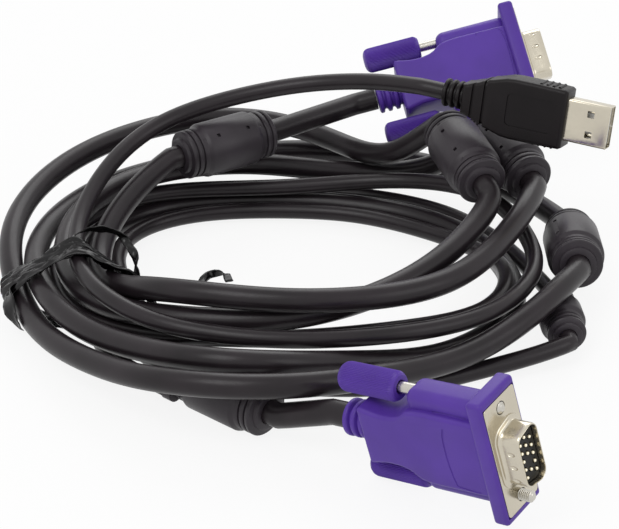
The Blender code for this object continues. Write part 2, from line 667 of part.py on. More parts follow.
def settle(leads, rounds=500):
    """Moves the leads of the coil apart until none touches another, the plugs or the ground."""
    points = np.vstack([lead["points"] for lead in leads])
    free = ~np.concatenate([lead["pinned"] for lead in leads])
    radius = np.concatenate([np.full(len(lead["points"]), lead["diameter"] / 2) for lead in leads])
    blocks = plugBlocks()
    fixed = np.array([[*start, *end] for start, end, size in blocks]).reshape(-1, 2, 3)
    total = len(points)
    allPoints = np.vstack([points, fixed.reshape(-1, 3)])
    starts = []
    owner = []
    segmentRadius = []
    offset = 0
    for number, lead in enumerate(leads):
        count = len(lead["points"])
        for index in range(count - 1):
            starts.append((offset + index, offset + index + 1))
            owner.append(number)
            segmentRadius.append(lead["segmentRadius"][index])
        offset += count
    for number, (start, end, size) in enumerate(blocks):
        starts.append((total + 2 * number, total + 2 * number + 1))
        owner.append(-1)
        segmentRadius.append(size)
    starts = np.array(starts)
    owner = np.array(owner)
    segmentRadius = np.array(segmentRadius)
    ends = np.concatenate([lead["nearEnd"] for lead in leads] + [np.zeros(len(blocks), bool)])
    movable = np.concatenate([free, np.zeros(len(fixed) * 2, bool)])
    designed = allPoints.copy()
    one, two = np.triu_indices(len(starts), 1)
    sameLead = owner[one] == owner[two]
    keep = ~(sameLead & (np.abs(one - two) < 5)) & ~((owner[one] < 0) & (owner[two] < 0))
    keep &= ~((owner[two] < 0) & ends[one])
    keep &= ~(~sameLead & ends[two] & (segmentRadius[one] > vgaDiameter) & (owner[two] == 1))
    one = one[keep]
    two = two[keep]
    need = segmentRadius[one] + segmentRadius[two] + 1.3 * gap
    floor = radius + 0.1 * mm + np.where(nearTie(points), 1.2 * mm, 0)
    for turn in range(rounds):
        a, b = allPoints[starts[one, 0]], allPoints[starts[one, 1]]
        c, d = allPoints[starts[two, 0]], allPoints[starts[two, 1]]
        share, partner = closestPoints(a, b, c, d)
        between = (a + (b - a) * share[:, None]) - (c + (d - c) * partner[:, None])
        distance = np.linalg.norm(between, axis=1)
        close = distance < need
        if close.any():
            way = between[close] / np.maximum(distance[close], 1e-6)[:, None]
            lack = (need - distance)[close][:, None] * way * 0.5
            push = np.zeros_like(allPoints)
            weight = np.zeros(len(allPoints))
            first, second = starts[one[close]], starts[two[close]]
            share, partner = share[close], partner[close]
            for index, sign, part in ((first[:, 0], 1, 1 - share), (first[:, 1], 1, share),
                                      (second[:, 0], -1, 1 - partner), (second[:, 1], -1, partner)):
                np.add.at(push, index, sign * lack * part[:, None])
                np.add.at(weight, index, part)
            allPoints += np.where(movable[:, None], push / np.maximum(weight, 1)[:, None] * 1.3, 0)
        offset = 0
        for lead in leads:
            count = len(lead["points"])
            shift = allPoints[offset:offset + count] - designed[offset:offset + count]
            calm = 0.25 if turn < rounds * 0.8 else 0.04
            shift[1:-1] += calm * (shift[:-2] + shift[2:] - 2 * shift[1:-1])
            mask = movable[offset:offset + count]
            allPoints[offset:offset + count][mask] = (designed[offset:offset + count] + shift)[mask]
            offset += count
        allPoints[:total, 2] = np.where(free, np.maximum(allPoints[:total, 2], floor), allPoints[:total, 2])
    offset = 0
    for lead in leads:
        count = len(lead["points"])
        lead["points"] = allPoints[offset:offset + count]
        offset += count


def makeRoutes():
    near = plugMatrix("near")
    far = plugMatrix("far")
    usb = plugMatrix("usb")
    vgaStart = [near @ Vector((reliefRear - gap - reach * mm, 0, 0)) for reach in (0, 6)]
    vgaEnd = [far @ Vector((reliefRear - gap - reach * mm, 0, 0)) for reach in (7, 0)]
    middle, direction, lead = chokeAxis("choke_near")
    side = direction.cross(Vector((0, 0, 1)))
    junction = middle + direction * (vgaChokeLength / 2 + gap) - side * stubOffset[0]
    junction.z += stubOffset[1]
    usbStart = [junction, junction + direction * 6 * mm]
    usbEnd = [usb @ Vector((usbReliefRear - gap - reach * mm, 0, 0)) for reach in (7, 0)]
    leads = []
    for diameter, route, start, end in ((vgaDiameter, vgaRoute, vgaStart, vgaEnd),
                                        (usbDiameter, usbRoute, usbStart, usbEnd)):
        points, pinned = smoothRoute(keyPoints(route, start, end), 17 * mm)
        leads.append({"diameter": diameter, "points": points, "pinned": pinned})
    for lead in leads:
        points = lead["points"]
        size = np.full(len(points) - 1, lead["diameter"] / 2)
        for name in chokePlaces:
            middle, direction, kind = chokeAxis(name)
            radius, length, diameter = chokeSize(kind)
            if diameter != lead["diameter"]:
                continue
            halfway = (points[:-1] + points[1:]) / 2 - np.array(middle)
            along = halfway @ np.array(direction)
            across = np.linalg.norm(halfway - along[:, None] * np.array(direction), axis=1)
            size[(np.abs(along) < length / 2) & (across < 1 * mm)] = radius
        lead["segmentRadius"] = size
        nearEnd = np.zeros(len(size), bool)
        nearEnd[:3] = True
        nearEnd[-3:] = True
        lead["nearEnd"] = nearEnd
    settle(leads)
    return leads


def makeLead(name, lead):
    curve = bpy.data.curves.new(name, "CURVE")
    curve.dimensions = "3D"
    curve.bevel_depth = lead["diameter"] / 2
    curve.bevel_resolution = 2
    curve.use_fill_caps = True
    spline = curve.splines.new("POLY")
    spline.points.add(len(lead["points"]) - 1)
    for point, place in zip(spline.points, lead["points"]):
        point.co = (*place, 1)
    addObject(name, curve, blackPvc)


def tieDirections():
    """The way out from the coil's middle through the tie, and the way along its width."""
    turn = math.radians(tieAngle)
    return Vector((-math.sin(turn), -math.cos(turn), 0)), Vector((-math.cos(turn), math.sin(turn), 0))


def bundleCircles():
    """The leads that run through the tie, seen along its width: reach, height and lead radius."""
    outward, along = [np.array(way) for way in tieDirections()]
    middle = np.array([*coilCentre, 0])
    found = []
    for lead in leads:
        points = lead["points"]
        for step in range(6):
            between = points[:-1] + (points[1:] - points[:-1]) * step / 6 - middle
            inside = (np.abs(between @ along) < tieWidth / 2 + 3 * mm) & (between @ outward > 0)
            found += [(place @ outward, place[2], lead["diameter"] / 2) for place in between[inside]]
    return found


def hullAround(circles, clear):
    """The tight outline round a set of circles, as points in order."""
    turns = [2 * math.pi * step / 16 for step in range(16)]
    points = set()
    for reach, height, size in circles:
        for turn in turns:
            radius = size + clear
            points.add((round(reach + radius * math.cos(turn), 7), round(height + radius * math.sin(turn), 7)))
    outline = []
    for row in (sorted(points), sorted(points, reverse=True)):
        side = []
        for point in row:
            while len(side) > 1 and turnsRight(side[-2], side[-1], point):
                side.pop()
            side.append(point)
        outline += side[:-1]
    return outline


def turnsRight(before, here, after):
    return (here[0] - before[0]) * (after[1] - before[1]) <= (here[1] - before[1]) * (after[0] - before[0])


def evenOutline(outline, count):
    """Reads a closed outline at even steps of its length."""
    corners = np.array(outline + outline[:1])
    lengths = np.concatenate([[0], np.cumsum(np.linalg.norm(np.diff(corners, axis=0), axis=1))])
    steps = np.linspace(0, lengths[-1], count, endpoint=False)
    return np.stack([np.interp(steps, lengths, corners[:, 0]), np.interp(steps, lengths, corners[:, 1])], 1)


def makeTie():
    """A band of film round the coil, with a knot on top and a stiff tail."""
    loop = evenOutline(hullAround(bundleCircles(), tieClear), 30)
    outward, along = tieDirections()
    middle = Vector((*coilCentre, 0))
    bm = bmesh.new()
    columns = []
    for reach, height in loop:
        base = middle + outward * reach + Vector((0, 0, height))
        columns.append([bm.verts.new(base + along * tieWidth * share) for share in (-0.5, 0, 0.5)])
    for first, second in zip(columns, columns[1:] + columns[:1]):
        for index in range(2):
            bm.faces.new((first[index], first[index + 1], second[index + 1], second[index]))
    bmesh.ops.recalc_face_normals(bm, faces=bm.faces)
    tie = addObject("tie_band", meshFrom(bm, "tie"), film)
    shell = tie.modifiers.new("film", "SOLIDIFY")
    shell.thickness = tieThick
    shell.offset = 0
    top = loop[np.argmax(loop[:, 1] - loop[:, 0])]
    knotPlace = middle + outward * top[0] + Vector((0, 0, top[1] + knotRadius - tieThick / 2))
    knot = bmesh.new()
    bmesh.ops.create_uvsphere(knot, u_segments=12, v_segments=8, radius=knotRadius)
    bmesh.ops.translate(knot, verts=knot.verts, vec=knotPlace)
    boolean(tie, addCutter("tie_knot", meshFrom(knot, "knot")), "UNION")
    stops = [(knotPlace, True)] + [(Vector(point) * mm, True) for point in tailRoute]
    route, held = smoothRoute(stops, 3 * mm)
    boolean(tie, addCutter("tie_tail", tubeMesh("tail", route, tailRadius)), "UNION")


def tubeMesh(name, points, radius):
    curve = bpy.data.curves.new(name, "CURVE")
    curve.dimensions = "3D"
    curve.bevel_depth = radius
    curve.bevel_resolution = 2
    curve.use_fill_caps = True
    spline = curve.splines.new("POLY")
    spline.points.add(len(points) - 1)
    for point, place in zip(spline.points, points):
        point.co = (*place, 1)
    guide = bpy.data.objects.new(name, curve)
    cutters.objects.link(guide)
    bpy.context.view_layer.update()
    mesh = bpy.data.meshes.new_from_object(guide.evaluated_get(bpy.context.evaluated_depsgraph_get()))
    bpy.data.objects.remove(guide)
    bm = bmesh.new()
    bm.from_mesh(mesh)
    bmesh.ops.remove_doubles(bm, verts=bm.verts, dist=0.001 * mm)
    bmesh.ops.recalc_face_normals(bm, faces=bm.faces)
    return meshFrom(bm, name)


def standOnOrigin():
    """Hangs everything on one empty, which stands the lead over the origin."""
    base = bpy.data.objects.new("kvm_cable_place", None)
    for each in parts.objects[:] + cutters.objects[:]:
        if each.parent is None:
            each.parent = base
    parts.objects.link(base)
    base.location = frameShift


leads = makeRoutes()
for name in ("near", "far"):
    makeVgaPlug(name)
makeUsbPlug()
for name in chokePlaces:
    makeChoke(name)
makeLead("vga_lead", leads[0])
makeLead("usb_lead", leads[1])
makeTie()
standOnOrigin()
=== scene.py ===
import math

import bmesh
import bpy
import numpy as np
from mathutils import Euler, Matrix, Vector, noise


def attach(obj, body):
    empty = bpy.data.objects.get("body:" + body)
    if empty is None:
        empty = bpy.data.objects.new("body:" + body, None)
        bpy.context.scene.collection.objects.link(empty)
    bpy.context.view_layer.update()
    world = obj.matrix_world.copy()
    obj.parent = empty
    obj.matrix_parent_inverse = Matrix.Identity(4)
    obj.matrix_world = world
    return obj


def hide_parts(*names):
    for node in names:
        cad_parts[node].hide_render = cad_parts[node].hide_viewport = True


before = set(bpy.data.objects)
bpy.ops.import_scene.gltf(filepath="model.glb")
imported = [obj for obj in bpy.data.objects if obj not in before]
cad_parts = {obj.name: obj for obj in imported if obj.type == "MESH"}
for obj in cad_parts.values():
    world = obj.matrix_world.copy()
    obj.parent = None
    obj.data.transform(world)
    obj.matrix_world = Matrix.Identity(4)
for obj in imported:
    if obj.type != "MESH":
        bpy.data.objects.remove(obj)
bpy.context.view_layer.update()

mm = 0.001
gap = 0.3 * mm
print("frame loaded:", len(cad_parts), "nodes")

# Where things lie, as the construction has them
lay = {
    "shift": (2.1 * mm, 6.4 * mm, -0.1 * mm),
    "coilCentre": (-5 * mm, 14 * mm),
    "vgaDiameter": 6.6 * mm,
    "usbDiameter": 4.8 * mm,
    "reliefRear": -47.0 * mm,
    "usbReliefRear": -37.0 * mm,
    "screwSpacing": 24.99 * mm,
    "channelRear": -25.4 * mm,
}
plugPlaces = {
    "near": ((47, -108.5, 23.4), (10, -10, -38.4)),
    "far": ((66, 86, 40), (-46, -13, 7)),
    "usb": ((72, 20, 50), (-12, 2, -25)),
}
knobGaps = {"near_upper": 3.4, "near_lower": 0.6, "far_upper": 5.0, "far_lower": 4.6}
wideSides = {"near": 1, "far": -1}
chokePlaces = {
    "choke_near": ((-21.5, -56, 8.2), (-0.75, 0.66, 0), "vga"),
    "choke_right_vga": ((74.5, 15, 12.5), (-0.02, -0.98, 0.14), "vga"),
    "choke_right_usb": ((68.5, -15, 6.4), (0.08, -1, 0), "usb"),
    "choke_rear_inner": ((44, 32, 33), (0.3, -0.93, -0.12), "vga"),
    "choke_rear_outer": ((57.5, 42.5, 28.8), (0.35, -0.92, -0.12), "vga"),
    "choke_far": ((-25, 55, 26), (0.83, 0.55, 0), "vga"),
}
chokeSizes = {
    "vga": (8.0 * mm, 31 * mm, 6.6 * mm),
    "usb": (6.2 * mm, 21 * mm, 4.8 * mm),
}
# turned angle from the front going left, radius and height in millimetres
vgaRoute = [
    "choke_near", (45, 57, 3.6), (60, 53.5, 3.8), (75, 52.6, 4.6), (90, 56, 3.6), (112, 64, 4),
    (135, 62, 4), (160, 53, 3.4), (180, 50, 3.4), (205, 51, 3.4), (225, 55, 3.4), (245, 60, 3.4),
    (262, 62, 3.4), (278, 64, 3.4), (291, 66, 4), (309, 66, 6), (322, 66, 6.5), (333, 64, 8),
    (346, 64, 11), (358, 73, 17), (370, 79, 20), (380, 76, 17.5), (392, 72, 13.5), (409, 71, 11),
    (424, 71, 11), (435, 71, 11.2), (450, 71, 9), (470, 73, 7), (495, 76, 6), (540, 76, 7), (585, 77, 9),
    "choke_right_vga", (650, 79, 16), (661, 77, 14.5), (677, 73, 10), (690, 73, 11), (705, 79, 16),
    (720, 86, 19), (731, 88, 19.5), (742, 85, 17), (750, 81, 13.5), (759, 78, 11), (773, 76, 8),
    (783, 75.5, 6.5), (795, 75.8, 6), (810, 79, 11), (830, 82, 14), (850, 82, 17), (870, 81, 18),
    (885, 81, 17), (900, 76, 15), (915, 66, 13), (926, 59, 14), (936, 57, 20), "choke_rear_inner",
    (990, 57, 29), (1035, 49, 21), (1080, 53, 17), (1110, 57, 14.5), (1125, 60.5, 12), (1140, 63, 10.8),
    (1155, 63.8, 10.6), (1170, 64, 12), (1190, 63, 14), (1215, 60, 14), (1245, 55, 14), (1265, 56, 12),
    (1280, 62, 10), (1292, 68, 10), (1302, 73, 14), "choke_rear_outer", (1350, 64, 26), (1395, 57, 23),
    (1440, 54, 24), (1470, 56, 24), (1485, 57, 21), (1500, 55.5, 14), (1515, 56.3, 11), (1530, 54, 16),
    "choke_far",
]
usbRoute = [
    (48, 66, 3), (60, 62, 3), (75, 59.3, 4), (90, 62, 3), (112, 70, 3), (135, 69, 2.6), (160, 60, 2.6),
    (180, 57.5, 2.6), (225, 61, 2.6), (255, 64, 2.8), (266, 67, 3), "choke_right_usb", (315, 72, 4),
    (330, 67, 3), (345, 61, 2.6), (360, 59, 2.6), (375, 56, 2.6), (390, 52, 2.6), (405, 49.5, 2.6),
    (420, 47.5, 3), (435, 46.7, 3.8), (450, 50, 3), (474, 56, 2.6), (490, 54, 2.6), (506, 49, 2.6),
    (520, 44.5, 2.6), (543, 41, 2.6), (568, 43.5, 2.6), (594, 48, 2.6), (611, 54.5, 3), (626, 60, 5),
    (640, 64, 9), (655, 67, 11), (666, 68, 12), (678, 65, 13), (689, 61, 13.5), (705, 57.5, 13),
    (720, 57, 12.5), (735, 58, 11.5), (750, 61, 9), (765, 63.5, 7), (780, 65, 5), (795, 65.5, 4.2),
    (810, 66, 5), (830, 64, 8), (855, 57, 10), (900, 45, 11), (945, 60, 17), (975, 68, 24), (985, 72, 20),
    (994, 74, 18), (1004, 74, 17), (1016, 73, 17.5), (1026, 73, 17.5), (1038, 70, 17.5), (1050, 67, 17.5),
    (1065, 64, 17.3), (1080, 63, 17), (1110, 64, 17), (1125, 63.5, 17.2), (1140, 62, 17),
    (1155, 60.2, 16.8), (1170, 58, 21), (1190, 54, 28), (1215, 51, 34), (1260, 44, 42), (1295, 43, 48),
]
shift = Vector(lay["shift"])
coilCentre = lay["coilCentre"]


def plugMatrix(name, shifted=True):
    place, turn = plugPlaces[name]
    rotation = Euler([math.radians(angle) for angle in turn]).to_matrix().to_4x4()
    start = Vector(place) * mm + (shift if shifted else Vector())
    return Matrix.Translation(start) @ rotation


# Camera, floor and light
view = {
    "elevation": 28.0,          # degrees above the level
    "distance": 635 * mm,
    "target": (0, 0, 15 * mm),
    "focalPixels": 2300,
    "frameWidth": 619,
    "sensor": 36.0,
    "keyWatts": 2.6,
    "fillWatts": 0.7,
    "backWatts": 2.3,
    "worldStrength": 0.6,
    "floorOwnLight": 0.88,       # share of the floor that shows as plain white
}


def makeCamera():
    data = bpy.data.cameras.new("camera")
    camera = bpy.data.objects.new("camera", data)
    bpy.context.scene.collection.objects.link(camera)
    tilt = math.radians(view["elevation"])
    back = Vector((0, -math.cos(tilt), math.sin(tilt)))
    camera.location = Vector(view["target"]) + shift + back * view["distance"]
    camera.rotation_euler = (math.pi / 2 - tilt, 0, 0)
    data.sensor_width = view["sensor"]
    data.lens = view["focalPixels"] / view["frameWidth"] * view["sensor"]
    data.clip_start = 0.01
    data.clip_end = 50
    bpy.context.scene.camera = camera


def addLamp(name, place, watts, size):
    data = bpy.data.lights.new(name, "AREA")
    data.energy = watts
    data.size = size
    lamp = bpy.data.objects.new(name, data)
    bpy.context.scene.collection.objects.link(lamp)
    lamp.location = place
    lamp.rotation_euler = (-Vector(place)).to_track_quat("-Z", "Y").to_euler()


def seenDirectly(nodes, links):
    # 1 for what the camera sees straight, in a reflection or through something
    path = nodes.new("ShaderNodeLightPath")
    first = nodes.new("ShaderNodeMath")
    first.operation = "MAXIMUM"
    second = nodes.new("ShaderNodeMath")
    second.operation = "MAXIMUM"
    links.new(path.outputs["Is Camera Ray"], first.inputs[0])
    links.new(path.outputs["Is Glossy Ray"], first.inputs[1])
    links.new(first.outputs[0], second.inputs[0])
    links.new(path.outputs["Is Transmission Ray"], second.inputs[1])
    return second.outputs[0]


def makeWorld():
    world = bpy.data.worlds.new("studio")
    bpy.context.scene.world = world
    world.use_nodes = True
    nodes, links = world.node_tree.nodes, world.node_tree.links
    nodes.clear()
    plain = nodes.new("ShaderNodeBackground")
    plain.inputs["Color"].default_value = (1, 1, 1, 1)
    plain.inputs["Strength"].default_value = view["worldStrength"]
    white = nodes.new("ShaderNodeBackground")
    white.inputs["Color"].default_value = (1, 1, 1, 1)
    white.inputs["Strength"].default_value = 1
    mix = nodes.new("ShaderNodeMixShader")
    out = nodes.new("ShaderNodeOutputWorld")
    links.new(seenDirectly(nodes, links), mix.inputs[0])
    links.new(plain.outputs[0], mix.inputs[1])
    links.new(white.outputs[0], mix.inputs[2])
    links.new(mix.outputs[0], out.inputs[0])


def makeFloor():
    bm = bmesh.new()
    bmesh.ops.create_grid(bm, x_segments=1, y_segments=1, size=4)
    mesh = bpy.data.meshes.new("floor")
    bm.to_mesh(mesh)
    bm.free()
    floor = bpy.data.objects.new("floor", mesh)
    bpy.context.scene.collection.objects.link(floor)
    floor.location = (0, 0, -0.1 * mm)
    material = bpy.data.materials.new("floor_white")
    material.use_nodes = True
    nodes, links = material.node_tree.nodes, material.node_tree.links
    nodes.clear()
    matt = nodes.new("ShaderNodeBsdfDiffuse")
    matt.inputs["Color"].default_value = (0.9, 0.9, 0.9, 1)
    own = nodes.new("ShaderNodeEmission")
    own.inputs["Color"].default_value = (1, 1, 1, 1)
    share = nodes.new("ShaderNodeMath")
    share.operation = "MULTIPLY"
    share.inputs[1].default_value = view["floorOwnLight"]
    mix = nodes.new("ShaderNodeMixShader")
    out = nodes.new("ShaderNodeOutputMaterial")
    links.new(seenDirectly(nodes, links), share.inputs[0])
    links.new(share.outputs[0], mix.inputs[0])
    links.new(matt.outputs[0], mix.inputs[1])
    links.new(own.outputs[0], mix.inputs[2])
    links.new(mix.outputs[0], out.inputs[0])
    mesh.materials.append(material)


makeCamera()
makeWorld()
makeFloor()
addLamp("key", (-0.35, -0.45, 0.75), view["keyWatts"], 0.5)
addLamp("fill", (0.6, -0.35, 0.4), view["fillWatts"], 0.4)
addLamp("back", (0.1, 0.7, 0.6), view["backWatts"], 0.6)
bpy.context.scene.view_settings.view_transform = "Standard"
print("stage set")

# Finishes
finishes = {
    # colour, roughness, metallic, change of colour, grain and bump in mm, change of roughness, specular level
    "purplePvc": ((0.086, 0.034, 0.315), 0.42, 0, 0.10, 0.35, 0.012, 0.10, 0.3),
    "blackPvc": ((0.0155, 0.0115, 0.0140), 0.33, 0, 0.3, 0.5, 0.012, 0.10, 0.28),
    "chokePvc": ((0.031, 0.0255, 0.031), 0.42, 0, 0.25, 0.4, 0.015, 0.10, 0.3),
    "plugBlack": ((0.0065, 0.0045, 0.0052), 0.4, 0, 0.25, 0.4, 0.015, 0.10, 0.2),
    "ferrite": ((0.05, 0.05, 0.055), 0.6, 0, 0.2, 0.3, 0.02, 0.1, 0.4),
    "nickel": ((0.58, 0.535, 0.44), 0.22, 1, 0.06, 1.2, 0.004, 0.08, 0.5),
    "steel": ((0.56, 0.54, 0.49), 0.28, 1, 0.08, 0.8, 0.006, 0.08, 0.5),
    "pinPlate": ((0.93, 0.86, 0.68), 0.25, 1, 0.08, 0.5, 0.003, 0.08, 0.5),
    # the insulator's black, also worn by the block that fills the shell's hollow as painted shade
    "insertBlack": ((0.006, 0.006, 0.006), 0.45, 0, 0.2, 0.3, 0.01, 0.1, 0.25),
    "whitePlastic": ((0.78, 0.78, 0.76), 0.42, 0, 0.05, 0.4, 0.008, 0.08, 0.4),
    "tieFilm": ((0.0035, 0.003, 0.0035), 0.2, 0, 0.3, 0.8, 0.02, 0.12, 0.3),
}


def makeFinish(name):
    colour, roughness, metallic, change, grain, bump, roughChange, specular = finishes[name]
    material = bpy.data.materials.new(name)
    material.use_nodes = True
    nodes, links = material.node_tree.nodes, material.node_tree.links
    shader = nodes["Principled BSDF"]
    shader.inputs["Metallic"].default_value = metallic
    shader.inputs["Specular IOR Level"].default_value = specular
    where = nodes.new("ShaderNodeTexCoord")
    # slow change of tone over the piece
    cloud = nodes.new("ShaderNodeTexNoise")
    cloud.inputs["Scale"].default_value = 1 / (14 * mm)
    cloud.inputs["Detail"].default_value = 3
    links.new(where.outputs["Object"], cloud.inputs["Vector"])
    tone = nodes.new("ShaderNodeValToRGB")
    tone.color_ramp.elements[0].position = 0.3
    tone.color_ramp.elements[1].position = 0.7
    tone.color_ramp.elements[0].color = (*[part * (1 - change) for part in colour], 1)
    tone.color_ramp.elements[1].color = (*[min(1, part * (1 + change)) for part in colour], 1)
    links.new(cloud.outputs["Fac"], tone.inputs["Fac"])
    links.new(tone.outputs["Color"], shader.inputs["Base Color"])
    # fine moulded or drawn grain
    fine = nodes.new("ShaderNodeTexNoise")
    fine.inputs["Scale"].default_value = 1 / (grain * mm)
    fine.inputs["Detail"].default_value = 4
    links.new(where.outputs["Object"], fine.inputs["Vector"])
    wear = nodes.new("ShaderNodeMapRange")
    wear.inputs["From Min"].default_value = 0.3
    wear.inputs["From Max"].default_value = 0.7
    wear.inputs["To Min"].default_value = roughness - roughChange / 2
    wear.inputs["To Max"].default_value = roughness + roughChange / 2
    links.new(fine.outputs["Fac"], wear.inputs["Value"])
    links.new(wear.outputs["Result"], shader.inputs["Roughness"])
    relief = nodes.new("ShaderNodeBump")
    relief.inputs["Strength"].default_value = 0.6
    relief.inputs["Distance"].default_value = bump * mm
    links.new(fine.outputs["Fac"], relief.inputs["Height"])
    links.new(relief.outputs["Normal"], shader.inputs["Normal"])
    return material


materials = {name: makeFinish(name) for name in finishes}
nodeFinishes = {
    "hood": "purplePvc", "knob": "purplePvc", "screw": "steel", "shell": "nickel", "insert": "insertBlack",
    "core": "ferrite", "lead": "blackPvc", "overmould": "plugBlack", "tongue": "whitePlastic",
    "band": "tieFilm",
}
for name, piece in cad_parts.items():
    finish = "pinPlate" if "_pin_" in name else nodeFinishes.get(name.rsplit("_", 1)[-1], "chokePvc")
    piece.data.materials.clear()
    piece.data.materials.append(materials[finish])
print("finishes made:", len(materials))


# Making and placing pieces
def meshOf(bm, name):
    bmesh.ops.remove_doubles(bm, verts=bm.verts, dist=0.001 * mm)
    bmesh.ops.recalc_face_normals(bm, faces=bm.faces)
    mesh = bpy.data.meshes.new(name)
    bm.to_mesh(mesh)
    bm.free()
    return mesh


def roundEdges(bm, edges, width, segments):
    bmesh.ops.bevel(bm, geom=edges, offset=width, offset_type="OFFSET", segments=segments, profile=0.5,
                    affect="EDGES", clamp_overlap=True, material=-1)


def roundedBox(low, high, width=0.0, segments=3):
    bm = bmesh.new()
    bmesh.ops.create_cube(bm, size=1)
    bmesh.ops.scale(bm, vec=[b - a for a, b in zip(low, high)], verts=bm.verts)
    bmesh.ops.translate(bm, vec=[(a + b) / 2 for a, b in zip(low, high)], verts=bm.verts)
    if width:
        roundEdges(bm, bm.edges[:], width, segments)
    return meshOf(bm, "box")


def slab(outline, low, high, width=0.0, segments=4, upright=False):
    # a flat outline, in X-Z with its thickness along Y, or upright in Y-Z with its thickness along X
    bm = bmesh.new()
    if upright:
        verts = [bm.verts.new((low, across, along)) for across, along in outline]
        push = Vector((high - low, 0, 0))
    else:
        verts = [bm.verts.new((across, low, along)) for across, along in outline]
        push = Vector((0, high - low, 0))
    face = bmesh.ops.contextual_create(bm, geom=verts)["faces"][0]
    grown = bmesh.ops.extrude_face_region(bm, geom=[face])["geom"]
    bmesh.ops.translate(bm, vec=push, verts=[each for each in grown if isinstance(each, bmesh.types.BMVert)])
    bmesh.ops.recalc_face_normals(bm, faces=bm.faces)
    if width:
        rims = [edge for edge in bm.edges
                if abs((edge.verts[0].co - edge.verts[1].co).dot(push.normalized())) < 0.01 * mm]
        roundEdges(bm, rims, width, segments)
    return meshOf(bm, "slab")


def turned(profile, steps=48, closed=False):
    bm = bmesh.new()
    verts = [bm.verts.new((along, 0, radius)) for along, radius in profile]
    edges = [bm.edges.new(pair) for pair in zip(verts, verts[1:])]
    if closed:
        edges.append(bm.edges.new((verts[-1], verts[0])))
    bmesh.ops.spin(bm, geom=verts + edges, cent=(0, 0, 0), axis=(1, 0, 0), angle=2 * math.pi, steps=steps,
                   use_merge=True)
    return meshOf(bm, "turned")


def tube(points, radius, sides=2):
    curve = bpy.data.curves.new("tube", "CURVE")
    curve.dimensions = "3D"
    curve.bevel_depth = radius
    curve.bevel_resolution = sides
    curve.use_fill_caps = True
    spline = curve.splines.new("POLY")
    spline.points.add(len(points) - 1)
    for point, place in zip(spline.points, points):
        point.co = (*place, 1)
    guide = bpy.data.objects.new("tube", curve)
    bpy.context.scene.collection.objects.link(guide)
    bpy.context.view_layer.update()
    found = bpy.data.meshes.new_from_object(guide.evaluated_get(bpy.context.evaluated_depsgraph_get()))
    bpy.data.objects.remove(guide)
    bm = bmesh.new()
    bm.from_mesh(found)
    return meshOf(bm, "tube")


def carve(mesh, steps):
    # joins or cuts one mesh with others, in order
    work = bpy.data.objects.new("work", mesh)
    bpy.context.scene.collection.objects.link(work)
    helpers = []
    for other, operation in steps:
        helper = bpy.data.objects.new("helper", other)
        bpy.context.scene.collection.objects.link(helper)
        helpers.append(helper)
        modifier = work.modifiers.new("shape", "BOOLEAN")
        modifier.operation = operation
        modifier.solver = "EXACT"
        modifier.object = helper
    bpy.context.view_layer.update()
    made = bpy.data.meshes.new_from_object(work.evaluated_get(bpy.context.evaluated_depsgraph_get()))
    for each in [work] + helpers:
        bpy.data.objects.remove(each)
    return made


def moved(mesh, matrix):
    mesh.transform(matrix)
    return mesh


def addPiece(name, mesh, finish, body, nodes, matrix=None, angle=35):
    if matrix:
        mesh.transform(matrix)
    mesh.materials.clear()
    mesh.materials.append(materials[finish])
    mesh.polygons.foreach_set("material_index", [0] * len(mesh.polygons))
    mesh.shade_smooth()
    mesh.set_sharp_from_angle(angle=math.radians(angle))
    piece = bpy.data.objects.new(name, mesh)
    bpy.context.scene.collection.objects.link(piece)
    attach(piece, body)
    if nodes:
        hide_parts(*nodes)
    return piece


# The two leads
def coilPoint(angle, radius, height):
    turn = math.radians(angle)
    return Vector((coilCentre[0] - radius * mm * math.sin(turn), coilCentre[1] - radius * mm * math.cos(turn),
                   height * mm))


def chokeAxis(name):
    middle, direction, lead = chokePlaces[name]
    return Vector(middle) * mm, Vector(direction).normalized(), lead


def keyPoints(route, startPoints, endPoints):
    points = [(point, True) for point in startPoints]
    for stop in route:
        if isinstance(stop, str):
            middle, direction, lead = chokeAxis(stop)
            half = chokeSizes[lead][1] / 2
            points += [(middle + direction * reach, True) for reach in (-half - 3 * mm, half + 3 * mm)]
        else:
            points.append((coilPoint(*stop), False))
    return points + [(point, True) for point in endPoints]


def smoothRoute(points, spacing):
    # a centripetal curve through the key points, straight where both ends are held
    keys = [np.array(point) for point, flag in points]
    held = [flag for point, flag in points]
    keys = [2 * keys[0] - keys[1]] + keys + [2 * keys[-1] - keys[-2]]
    route = []
    pinned = []
    for index in range(1, len(keys) - 2):
        a, b, c, d = keys[index - 1:index + 3]
        t = [0.0]
        for first, second in ((a, b), (b, c), (c, d)):
            t.append(t[-1] + max(np.linalg.norm(second - first), 0.5 * mm) ** 0.5)
        count = max(2, round(np.linalg.norm(c - b) / spacing))
        for step in range(count):
            if held[index - 1] and held[index]:
                route.append(b + (c - b) * step / count)
                pinned.append(True)
                continue
            time = t[1] + (t[2] - t[1]) * step / count
            ab = a + (b - a) * (time - t[0]) / (t[1] - t[0])
            bc = b + (c - b) * (time - t[1]) / (t[2] - t[1])
            cd = c + (d - c) * (time - t[2]) / (t[3] - t[2])
            abc = ab + (bc - ab) * (time - t[0]) / (t[2] - t[0])
            bcd = bc + (cd - bc) * (time - t[1]) / (t[3] - t[1])
            route.append(abc + (bcd - abc) * (time - t[1]) / (t[2] - t[1]))
            pinned.append(held[index - 1] and step == 0)
    route.append(keys[-2])
    pinned.append(held[-1])
    return np.array(route), np.array(pinned)


